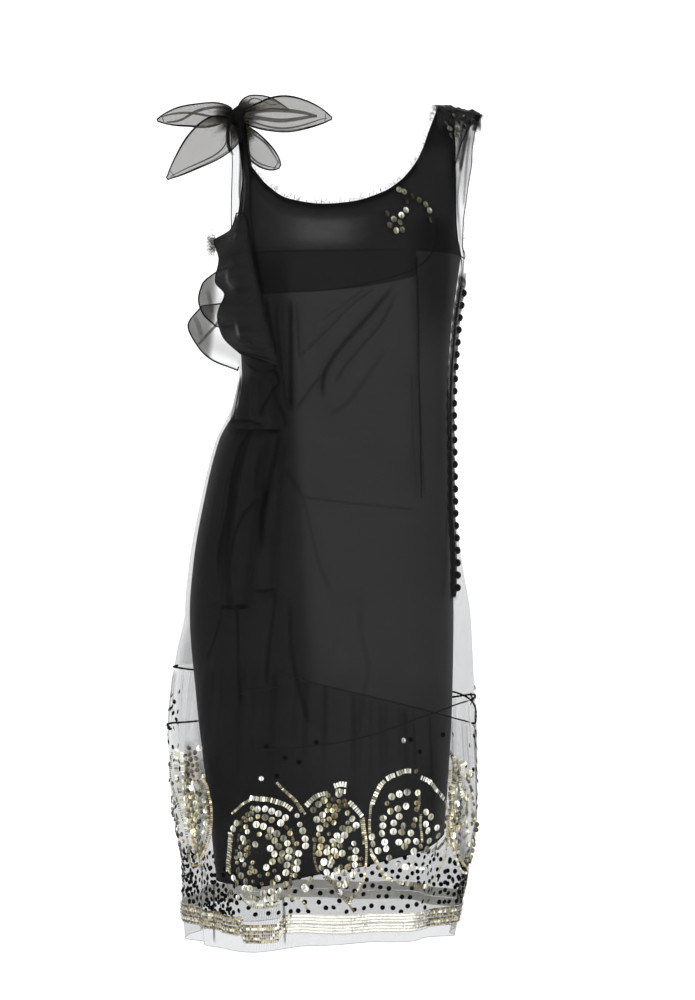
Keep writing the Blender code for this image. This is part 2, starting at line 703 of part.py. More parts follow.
def bow_pieces(materials, parts):
    for index, petal in enumerate(PETALS):
        name = f"bow_petal_{index + 1}"
        add_cloth(name, [petal_grid(*petal)], PETAL_WALL, materials["organza"], parts, side=BOTH_SIDES)
    shape = bmesh.new()
    bmesh.ops.create_uvsphere(shape, u_segments=12, v_segments=8, radius=1.0)
    for vertex in shape.verts:
        turn = math.atan2(vertex.co.y, vertex.co.x)
        pleat = 1 + KNOT_PLEAT_SHARE * math.cos(KNOT_PLEATS * turn)
        vertex.co = Vector((vertex.co.x * KNOT_SIZE[0] * pleat, vertex.co.y * KNOT_SIZE[1] * pleat,
                            vertex.co.z * KNOT_SIZE[2]))
    mesh = bpy.data.meshes.new("bow_knot")
    shape.to_mesh(mesh)
    shape.free()
    knot = add_object("bow_knot", mesh, materials["organza"], parts)
    knot.location = KNOT_CENTRE


def ruffle_grid(rows, count, cells, sewn_edge, waves, depth, belly):
    """A ribbon from a sewn edge to a free edge that waves front and back, full at its middle."""
    grid = []
    for share in evenly(count, 0.0, 1.0):
        first, second, *free = blend(rows, share)
        sewn = sewn_edge(first, second)
        free = Vector(free)
        free.y += depth * math.sin(2 * math.pi * waves * share)
        row = [sewn.lerp(free, part) for part in evenly(cells, 0.0, 1.0)]
        for part, place in zip(evenly(cells, 0.0, 1.0), row):
            place.y -= belly * math.sin(math.pi * part)
        grid.append(row)
    return grid


def cascade_pieces(materials, parts):
    """The frill, its two sheer flounces, the gathered drape and its hanging tails."""
    def frill_edge(x, height):
        return net_point(around_at(net_point, x, height), height, FRILL_LIFT)

    def flounce_edge(around, height):
        return net_point(around, height, FLOUNCE_LIFT)

    grid = ruffle_grid(FRILL, 22, 5, frill_edge, FRILL_WAVES, FRILL_WAVE_DEPTH, FRILL_BELLY)
    add_cloth("cascade_frill", [grid], FRILL_WALL, materials["net"], parts, side=BOTH_SIDES)
    for name, rows in (("flounce_upper", FLOUNCE_UPPER), ("flounce_lower", FLOUNCE_LOWER)):
        grid = ruffle_grid(rows, 12, 3, flounce_edge, 0.0, 0.0, 0.0)
        add_cloth(name, [grid], FLOUNCE_WALL, materials["organza"], parts, side=BOTH_SIDES)

    grid = []
    for height in evenly(7, DRAPE[-1][0], DRAPE[0][0]):
        right, left, stand_off = blend(DRAPE, height)
        row = []
        for share in evenly(14, 0.0, 1.0):
            x = right + (left - right) * share
            pleat = DRAPE_PLEAT_DEPTH * math.cos(2 * math.pi * DRAPE_PLEATS * share)
            swell = math.sin(math.pi * share) ** 0.6
            out = DRAPE_EDGE_LIFT + DRAPE_WALL + (stand_off + pleat) * swell
            row.append(net_point(around_at(net_point, x, height), height, out))
        grid.append(row)
    add_cloth("drape_knot", [grid], DRAPE_WALL, materials["net"], parts)

    for index, rows in enumerate(TAILS):
        grid = []
        for height in evenly(12, rows[-1][0], rows[0][0]):
            right, left, stand_off = blend(rows, height)
            row = []
            for share in evenly(4, 0.0, 1.0):
                x = right + (left - right) * share
                out = TAIL_EDGE_LIFT + TAIL_WALL + stand_off * math.sin(math.pi * share)
                row.append(net_point(around_at(net_point, x, height), height, out))
            grid.append(row)
        add_cloth(f"drape_tail_{index + 1}", [grid], TAIL_WALL, materials["net"], parts)


def main():
    for thing in list(bpy.data.objects):
        bpy.data.objects.remove(thing)
    parts = bpy.data.collections.new("flapper_dress")
    bpy.context.scene.collection.children.link(parts)
    materials = {name: make_material(name) for name in COLOURS}
    slip_pieces(materials, parts)
    net_pieces(materials, parts)
    hem_tapes(materials, parts)
    button_pieces(materials, parts)
    bow_pieces(materials, parts)
    cascade_pieces(materials, parts)


main()
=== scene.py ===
"""The look of a sleeveless black evening dress: silk slip, sheer net overdress, petal bow, ruffle,
side drape, covered buttons and a sequinned hem.

Lengths are in metres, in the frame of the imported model: +Z up, -Y the front, +X the wearer's left.
A place on the cloth is given by its height and by "around", the turns round the body: 0 at the right
side seam (-X), 0.25 at the front, 0.5 at the left side seam (+X) and 0.75 at the back.
"""

import math
import random
from functools import lru_cache

import bmesh
import bpy
from mathutils import Matrix, Vector


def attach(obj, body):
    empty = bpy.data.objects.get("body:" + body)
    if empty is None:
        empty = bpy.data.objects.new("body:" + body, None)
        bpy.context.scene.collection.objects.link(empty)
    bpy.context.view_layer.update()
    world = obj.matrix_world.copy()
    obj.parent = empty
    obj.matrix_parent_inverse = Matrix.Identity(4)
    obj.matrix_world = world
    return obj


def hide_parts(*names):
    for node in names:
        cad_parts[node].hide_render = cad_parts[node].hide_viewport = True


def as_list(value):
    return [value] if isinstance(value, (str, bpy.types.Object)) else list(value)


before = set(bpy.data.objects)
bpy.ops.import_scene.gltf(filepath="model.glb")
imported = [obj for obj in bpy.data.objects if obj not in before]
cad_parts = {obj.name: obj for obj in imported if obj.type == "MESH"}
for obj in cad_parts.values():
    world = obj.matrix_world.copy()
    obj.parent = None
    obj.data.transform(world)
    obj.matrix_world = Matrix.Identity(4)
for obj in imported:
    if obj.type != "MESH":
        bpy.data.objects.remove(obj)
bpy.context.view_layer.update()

# ---------------------------------------------------------------- the body line and its seams

SIDE_DEPTH = 0.010
FULLNESS = 2.3
SHOULDER_TOP = 0.115
SHOULDER_SLOPE = 0.20
SHOULDER_DEPTH = 0.06
UNDERARM = -0.178
FINENESS = 6
YOKE_ROWS = 34
CAMERA_X = 0.003
CAMERA_DISTANCE = 3.2
CAMERA_HEIGHT = -0.4667

SLIP_SECTIONS = (
    # height, right side x, left side x, front y, back y
    (0.000, -0.186, 0.200, 0.0100, 0.0100),
    (-0.003, -0.185, 0.199, -0.006, 0.025),
    (-0.010, -0.183, 0.196, -0.018, 0.038),
    (-0.022, -0.178, 0.189, -0.031, 0.050),
    (-0.045, -0.167, 0.175, -0.048, 0.066),
    (-0.085, -0.152, 0.156, -0.070, 0.080),
    (-0.130, -0.141, 0.145, -0.089, 0.086),
    (-0.178, -0.133, 0.138, -0.103, 0.085),
    (-0.225, -0.129, 0.1315, -0.111, 0.083),
    (-0.265, -0.126, 0.1265, -0.108, 0.081),
    (-0.320, -0.123, 0.1235, -0.099, 0.080),
    (-0.350, -0.127, 0.1235, -0.097, 0.084),
    (-0.395, -0.150, 0.1245, -0.100, 0.094),
    (-0.467, -0.168, 0.1265, -0.106, 0.112),
    (-0.540, -0.1805, 0.1285, -0.112, 0.122),
    (-0.600, -0.1850, 0.1295, -0.115, 0.124),
    (-0.700, -0.177, 0.128, -0.114, 0.120),
    (-0.800, -0.165, 0.123, -0.110, 0.113),
    (-0.930, -0.150, 0.112, -0.104, 0.104),
)
NET_EASE = (
    # height, ease at right, left, front and back, rise over the shoulder
    (0.000, 0.0030, 0.0030, 0.0030, 0.0030, 0.0032),
    (-0.060, 0.0030, 0.0030, 0.0032, 0.0032, 0.0026),
    (-0.150, 0.0030, 0.0040, 0.0032, 0.0032, 0.0000),
    (-0.220, 0.0030, 0.0065, 0.0032, 0.0032, 0.0000),
    (-0.320, 0.0032, 0.0050, 0.0034, 0.0034, 0.0000),
    (-0.348, 0.0060, 0.0042, 0.0036, 0.0036, 0.0000),
    (-0.362, 0.0056, 0.0040, 0.0036, 0.0036, 0.0000),
    (-0.385, 0.0036, 0.0040, 0.0038, 0.0040, 0.0000),
    (-0.467, 0.0040, 0.0044, 0.0050, 0.0050, 0.0000),
    (-0.540, 0.0050, 0.0110, 0.0090, 0.0090, 0.0000),
    (-0.600, 0.0060, 0.0200, 0.0140, 0.0150, 0.0000),
    (-0.645, 0.0170, 0.0230, 0.0180, 0.0210, 0.0000),
    (-0.690, 0.0280, 0.0260, 0.0230, 0.0270, 0.0000),
    (-0.745, 0.0370, 0.0300, 0.0290, 0.0340, 0.0000),
    (-0.800, 0.0400, 0.0350, 0.0330, 0.0390, 0.0000),
    (-0.850, 0.0390, 0.0380, 0.0350, 0.0400, 0.0000),
    (-0.895, 0.0350, 0.0320, 0.0340, 0.0380, 0.0000),
    (-0.943, 0.0390, 0.0250, 0.0300, 0.0340, 0.0000),
    (-0.990, 0.0350, 0.0150, 0.0270, 0.0300, 0.0000),
)
SLIP_FOLDS = (
    # around, half width, height where it starts, depth at the hem (inwards is negative)
    (0.045, 0.030, -0.56, 0.0030), (0.100, 0.024, -0.52, -0.0040), (0.150, 0.022, -0.54, -0.0060),
    (0.200, 0.030, -0.60, 0.0040), (0.290, 0.036, -0.66, -0.0030), (0.390, 0.036, -0.62, 0.0030),
    (0.580, 0.040, -0.55, -0.0040), (0.680, 0.040, -0.52, 0.0040), (0.780, 0.040, -0.56, -0.0040),
    (0.880, 0.040, -0.54, 0.0040),
)
NET_FOLDS = (
    # around, half width, height where it starts, depth at the hem (inwards is negative)
    (0.020, 0.030, -0.60, 0.0050), (0.070, 0.024, -0.68, -0.0080), (0.118, 0.028, -0.66, 0.0090),
    (0.184, 0.030, -0.76, 0.0230), (0.228, 0.020, -0.72, -0.0090), (0.262, 0.024, -0.71, 0.0060),
    (0.303, 0.024, -0.73, -0.0060), (0.345, 0.026, -0.72, 0.0070), (0.392, 0.024, -0.74, -0.0060),
    (0.438, 0.028, -0.72, 0.0080), (0.490, 0.028, -0.73, -0.0050), (0.545, 0.030, -0.70, 0.0090),
    (0.600, 0.028, -0.69, -0.0070), (0.655, 0.032, -0.68, 0.0110), (0.715, 0.030, -0.68, -0.0070),
    (0.770, 0.032, -0.68, 0.0100), (0.830, 0.030, -0.68, -0.0080), (0.885, 0.030, -0.67, 0.0110),
    (0.945, 0.028, -0.66, -0.0070),
)
FOLD_FULL_AT = -0.93

SLIP_HEM = (
    # around, height
    (0.00, -0.915), (0.13, -0.916), (0.25, -0.896), (0.36, -0.878), (0.50, -0.862),
    (0.75, -0.888), (1.00, -0.915),
)
BAND_SEAM = (
    # around, height
    (0.00, -0.226), (0.10, -0.227), (0.22, -0.226), (0.32, -0.213), (0.38, -0.198), (0.43, -0.188),
    (0.50, -0.184),
)
TIER_SEAM = (
    # around, height
    (0.00, -0.666), (0.12, -0.656), (0.19, -0.659), (0.27, -0.685), (0.35, -0.707), (0.42, -0.723),
    (0.47, -0.730), (0.50, -0.716), (0.58, -0.702), (0.75, -0.690), (0.90, -0.676), (1.00, -0.666),
)
NET_HEM = (
    # around, height
    (0.00, -0.987), (0.10, -0.982), (0.19, -0.981), (0.28, -0.973), (0.40, -0.974), (0.50, -0.981),
    (0.75, -0.985), (1.00, -0.987),
)
# A second gathering cord, which dips the other way and crosses the tier seam at the left.
TUCK_LINE = (
    # around, height
    (0.00, -0.734), (0.08, -0.738), (0.15, -0.752), (0.22, -0.750), (0.28, -0.738), (0.35, -0.716),
    (0.42, -0.703), (0.50, -0.700), (0.62, -0.712), (0.75, -0.730), (0.90, -0.738), (1.00, -0.734),
)

FRONT_NECKLINE = (
    # x, height
    (-0.1109, -0.0765), (-0.1055, -0.0835), (-0.0919, -0.0999), (-0.0660, -0.1175), (-0.0242, -0.1245),
    (0.0070, -0.1220), (0.0430, -0.1109), (0.0650, -0.0965), (0.0790, -0.0805), (0.0852, -0.0713),
)
BACK_NECKLINE = (
    # x, height
    (-0.1120, -0.0765), (-0.1050, -0.0860), (-0.0900, -0.0985), (-0.0600, -0.1065), (-0.0200, -0.1085),
    (0.0200, -0.1080), (0.0500, -0.1010), (0.0720, -0.0890), (0.0840, -0.0780), (0.0885, -0.0713),
)
# Straps, from the base up to the ridge: share of the way, height, inner edge x, outer edge x.
RIGHT_STRAP = (
    (0.000, -0.0765, -0.1109, -0.1205), (0.143, -0.0600, -0.1142, -0.1222),
    (0.286, -0.0435, -0.1160, -0.1246), (0.429, -0.0280, -0.1168, -0.1262),
    (0.571, -0.0150, -0.1165, -0.1290), (0.714, -0.0070, -0.1150, -0.1310),
    (0.857, -0.0020, -0.1130, -0.1315), (1.000, 0.0000, -0.1120, -0.1315),
)
LEFT_STRAP = (
    (0.000, -0.0713, 0.0852, 0.1290), (0.143, -0.0560, 0.0920, 0.1322),
    (0.286, -0.0400, 0.0975, 0.1368), (0.429, -0.0260, 0.1025, 0.1418),
    (0.571, -0.0150, 0.1065, 0.1470), (0.714, -0.0070, 0.1095, 0.1530),
    (0.857, -0.0020, 0.1110, 0.1575), (1.000, 0.0000, 0.1115, 0.1600),
)
# The slip's left strap is narrower than the net over it.
SLIP_LEFT_STRAP = (
    (0.000, -0.0713, 0.0852, 0.1295), (0.143, -0.0560, 0.0920, 0.1298),
    (0.286, -0.0400, 0.0975, 0.1292), (0.429, -0.0260, 0.1025, 0.1292),
    (0.571, -0.0150, 0.1065, 0.1300), (0.714, -0.0070, 0.1095, 0.1310),
    (0.857, -0.0020, 0.1110, 0.1320), (1.000, 0.0000, 0.1115, 0.1320),
)
STRAP_ROWS = 28
NECKLINE_CELLS = 13
NET_FRONT_OVERHANGS = (0.0120, 0.0205)
NET_BACK_OVERHANGS = (0.0030, 0.0030)
NET_OVERHANG_AT_RIDGE = 0.0030
ARMHOLE_ROUNDING = 1.5
SLIP_ARMHOLES = (
    # height, x of the edge at the right and at the left
    (-0.0713, -0.1200, 0.1295), (-0.0900, -0.1200, 0.1302), (-0.1150, -0.1225, 0.1302),
    (-0.1400, -0.1265, 0.1308), (-0.1650, -0.1290, 0.1335),
)
NET_FRONT_ARMHOLES = (
    (-0.0713, -0.1325, 0.1500), (-0.0970, -0.1330, 0.1455), (-0.1100, -0.1335, 0.1435),
    (-0.1400, -0.1340, 0.1395), (-0.1650, -0.1335, 0.1385),
)
NET_BACK_ARMHOLES = (
    (-0.0713, -0.1235, 0.1325), (-0.0900, -0.1235, 0.1322), (-0.1150, -0.1250, 0.1330),
    (-0.1400, -0.1285, 0.1340), (-0.1650, -0.1315, 0.1365),
)

# Creases pulled into the cloth: x and height at each end, half width, depth (inwards is negative).
DRAG_FOLDS = (
    (0.054, -0.212, -0.022, -0.316, 0.0060, -0.0014),
    (0.062, -0.222, -0.004, -0.338, 0.0070, 0.0012),
    (0.030, -0.214, -0.040, -0.300, 0.0060, 0.0011),
    (-0.058, -0.232, -0.052, -0.350, 0.0050, -0.0012),
    (-0.046, -0.232, -0.040, -0.360, 0.0060, 0.0010),
    (-0.028, -0.235, -0.030, -0.330, 0.0050, -0.0009),
    (-0.040, -0.370, 0.090, -0.455, 0.0090, 0.0012),
    (-0.050, -0.420, 0.060, -0.490, 0.0100, -0.0011),
    (0.090, -0.260, 0.070, -0.400, 0.0060, 0.0010),
    (-0.062, -0.560, -0.050, -0.760, 0.0100, -0.0014),
    (-0.010, -0.540, 0.010, -0.860, 0.0120, 0.0012),
    (0.050, -0.520, 0.062, -0.850, 0.0120, -0.0012),
    (-0.130, -0.500, -0.110, -0.860, 0.0110, 0.0016),
    (-0.100, -0.600, -0.086, -0.850, 0.0080, -0.0016),
)


# The picture that the dress is seen in: its middle, and its scale on the plane of the shoulders.
PICTURE_MIDDLE = (347.5, 500)
PIXELS_PER_METRE = 840
PIXELS_PER_MILLIMETRE = PIXELS_PER_METRE / 1000
# A narrow fold is drawn wider and thinner than it measures: up to this half width, how much, how much.
SOFTENED_FOLDS = ((0.0015, 1.70, 0.70), (0.0026, 1.35, 0.80))
MOST_LEAN = 34


def picture_place(across, down):
    """A place read in the picture, in pixels, as x and height on the plane of the shoulders."""
    return (round(CAMERA_X + (across - PICTURE_MIDDLE[0]) / PIXELS_PER_METRE, 4),
            round(CAMERA_HEIGHT + (PICTURE_MIDDLE[1] - down) / PIXELS_PER_METRE, 4))


def seen_fold(width, layers, *places):
    """A fold read in the picture: its half width, extra layers in the middle and places along it."""
    half_width = round(width / PIXELS_PER_METRE, 4)
    for narrow, wider, thinner in SOFTENED_FOLDS:
        if half_width <= narrow:
            half_width = round(half_width * wider, 4)
            layers = round(layers * thinner, 1)
            break
    return half_width, layers, tuple(picture_place(*place) for place in places)


def seen_sequins(*rows):
    """Single sequins read in the picture: x, height, lean in degrees and tint."""
    return tuple((*picture_place(across, down), min(lean, MOST_LEAN), tint)
                 for across, down, lean, tint in rows)


# Where the net is pulled into narrow folds on the front. A seen_fold gives its half width and places in
# pixels of the picture; the other rows give half width, extra layers and places in metres.
# The extra layers darken each fold: partly net lying over itself, partly painted shade in the crease.
NET_FOLD_LINES = (
    # left of the yoke and down to the empire seam
    seen_fold(2.6, 2.2, (250, 170), (251, 215), (255.5, 256), (263, 293)),
    # right strap
    seen_fold(2, 7, (240.5, 124), (241, 145), (241.5, 165), (240.5, 190), (241, 208), (237, 224)),
    seen_fold(2.4, 6, (244, 124), (246.5, 148), (250, 168), (253, 182)),
    seen_fold(2, 4, (232, 113), (231.5, 125), (234, 143)),
    # left strap
    (0.0055, 1.6, ((0.1290, -0.0450), (0.1315, -0.0900), (0.1340, -0.1300), (0.1375, -0.1680))),
    (0.0030, 2.2, ((0.1480, -0.0300), (0.1440, -0.0700), (0.1400, -0.1200))),
    (0.0036, 8.0, ((0.1485, -0.0110), (0.1455, -0.0240), (0.1412, -0.0500), (0.1361, -0.0798))),
    (0.0034, 5.0, ((0.1445, -0.0110), (0.1400, -0.0240), (0.1370, -0.0450), (0.1335, -0.0700))),
    (0.0034, 7.0, ((0.1560, -0.0060), (0.1555, -0.0160), (0.1530, -0.0280))),
    (0.0026, 2.0, ((0.1380, -0.0620), (0.1358, -0.0850), (0.1330, -0.1100), (0.1345, -0.1380))),
    # where the stand starts
    (0.0030, 7.0, ((0.1340, -0.1580), (0.1370, -0.1760), (0.1385, -0.1920), (0.1375, -0.2100))),
    (0.0022, 6.0, ((0.1385, -0.1620), (0.1405, -0.1800), (0.1395, -0.1960))),
    # net doubled under the medallions at the sides
    (0.0150, 2.2, ((-0.1850, -0.7500), (-0.1860, -0.8000), (-0.1830, -0.8500), (-0.1790, -0.9150))),
    (0.0100, 1.8, ((-0.1720, -0.7700), (-0.1660, -0.8300), (-0.1680, -0.8900))),
    (0.0130, 2.2, ((0.1320, -0.7700), (0.1340, -0.8300), (0.1330, -0.8900), (0.1310, -0.9400))),
    # pleats of the hem at the right front
    (0.0022, 4.0, ((-0.1524, -0.9180), (-0.1530, -0.9500), (-0.1524, -0.9950))),
    (0.0022, 3.0, ((-0.0762, -0.9380), (-0.0755, -0.9600), (-0.0750, -0.9960))),
    # fans pulled down from the empire seam
    seen_fold(2.2, 3.2, (290.5, 299), (291, 353), (290.7, 412)),
    seen_fold(1.2, 1.2, (296.6, 299), (298.5, 341), (300, 358)),
    seen_fold(1.5, 1.6, (276.5, 300), (277.7, 329), (282.6, 373), (285, 395), (289, 412)),
    seen_fold(2, 2.6, (257, 298), (262, 322), (271.6, 346)),
    seen_fold(2, 2, (266.6, 298), (270, 322), (274, 349)),
    seen_fold(1, 1.1, (377, 286), (347.5, 309), (323, 334), (300, 356)),
    seen_fold(0.9, 0.7, (365, 288), (345, 303), (322, 320)),
    seen_fold(2, 2.6, (394, 285), (372, 312), (342.6, 345), (328, 366), (323, 380.5), (323, 397.6)),
    seen_fold(1.8, 1.3, (396.6, 292), (382, 321.7), (362, 346), (345, 366), (335, 383)),
    seen_fold(1.2, 1.3, (328, 367), (311, 388), (296, 410)),
    seen_fold(3.2, 0.5, (384, 350), (352, 397.6), (330, 415)),
    # princess seam
    seen_fold(1.8, 1.5, (417.4, 262), (417.4, 353.5), (419.9, 417), (423.5, 500)),
    seen_fold(2.4, 0.5, (411, 370), (413, 440), (417, 500)),
    # hip
    seen_fold(1, 0.9, (301, 497), (360, 504), (418.6, 510)),
    # side of the drape
    seen_fold(1.6, 3, (267.4, 373), (275, 370.6), (279, 382), (275, 396), (269, 413), (267, 421)),
    seen_fold(1.8, 3, (264.5, 334), (267, 345.5), (264.5, 353), (273, 361), (275, 370)),
    seen_fold(1.8, 3, (281, 407), (285, 415), (287, 429)),
    seen_fold(1.6, 2.4, (229.7, 426.5), (257.7, 426.5), (271, 430.5), (286.7, 432.5)),
    # tails
    seen_fold(2.2, 2.6, (254, 426.7), (246, 442), (238, 469), (230.6, 515.7), (224.8, 546.6), (222, 575)),
    seen_fold(1.8, 2.6, (262, 500), (254, 510), (244, 527), (234.5, 556), (230.6, 568)),
    seen_fold(3.6, 4, (283, 434), (279, 454), (273, 477), (265.4, 500), (262, 520), (262.5, 548.6)),
    seen_fold(5, 1.6, (266, 482), (265, 520), (264, 552)),
    seen_fold(1, 2, (267.4, 446), (261.6, 469), (258.7, 494)),
    seen_fold(1.2, 3, (255.8, 591), (266, 592), (277, 589)),
    seen_fold(2, 6, (221, 606.6), (235, 608), (250, 606.6)),
    # below the tails
    seen_fold(2, 1.2, (222.7, 608), (216, 636), (206, 663)),
    (0.0030, 1.6, ((-0.1278, -0.5953), (-0.1268, -0.6453), (-0.1262, -0.7150))),
    (0.0032, 1.6, ((-0.0827, -0.5738), (-0.0845, -0.5977), (-0.0905, -0.6447), (-0.0945, -0.6900))),
    seen_fold(3.2, 1.6, (290, 600), (292, 649.5), (298.6, 689), (308.5, 725)),
    seen_fold(3.8, 0.5, (361, 600), (361, 633), (368, 666), (363, 695.7), (358, 732)),
    seen_fold(2, 0.8, (286, 470), (303, 500), (318, 560), (330, 590)),
    # side of the frill
    seen_fold(2, 2.2, (264, 291), (253.7, 300), (240, 305), (227, 314)),
    seen_fold(1.6, 1.4, (245, 308), (243, 338), (245, 360), (260, 373)),
    seen_fold(1.6, 1.8, (256, 308), (266.7, 347), (264.5, 360)),
)

# Sequins: a sprig on the left bust and a cluster on the left shoulder, as places in pixels, lean, tint.
SPRIG = seen_sequins(
    (399, 191, 10, "olive"), (404, 193, 20, "olive"), (406.5, 202, 55, "brown"),
    (405.7, 210.5, 15, "silver"), (401.2, 215.7, 5, "silver"), (393.7, 219.5, 5, "silver"),
    (389.5, 225.5, 20, "olive"), (396, 230.7, 15, "olive"), (402, 230, 15, "olive"),
    (399.7, 222.5, 25, "olive"), (387, 214, 60, "olive"), (412.5, 197, 35, "brown"),
    (418.8, 201, 15, "olive"), (425.2, 205.2, 15, "olive"), (429, 211, 10, "silver"),
    (430, 220, 55, "olive"),
)
SHOULDER_SEQUINS = seen_sequins(
    (443.5, 121, 25, "olive"), (446.5, 126, 35, "olive"), (449.5, 131, 15, "olive"),
    (457, 131.5, 20, "olive"), (459, 124, 40, "brown"), (462.5, 127, 20, "olive"),
    (468, 121.5, 45, "olive"), (460.5, 119, 30, "brown"), (454.5, 117, 50, "brown"),
    (464.5, 117, 40, "olive"), (452, 123.5, 20, "brown"), (456, 137, 25, "olive"),
    (451, 138, 40, "brown"), (473, 119, 50, "brown"),
)
SPRIG_RADIUS = 0.0038
# Sequins near the shoulder lie under the net; their tints are held no brighter than this, painted shade
# standing in for the net over them.
SHOULDER_BRIGHTEST = 0.22
SHOULDER_REACH = 0.030
# Sequins at the sides are turned this much towards the front.
SIDE_TURN = 1.4
SEQUIN_LIFT = 0.0009
BAR_LIFT = 0.0010
STITCH_RADIUS = 0.00028

# Where each front medallion was read: the corner and scale of the enlarged part of the picture across,
# the same down, and the medallion's middle in pixels of the picture.
MEDALLION_READINGS = {
    "right_side": (160, 7.03, 720, 7.0, 193, 808),
    "right": (218, 10.03, 765, 10.0, 266, 840),
    "middle": (290, 9.41, 765, 9.41, 335, 842),
    "left": (360, 8.0, 755, 8.0, 407, 829),
    "left_side": (360, 8.0, 755, 8.0, 458, 812),
}
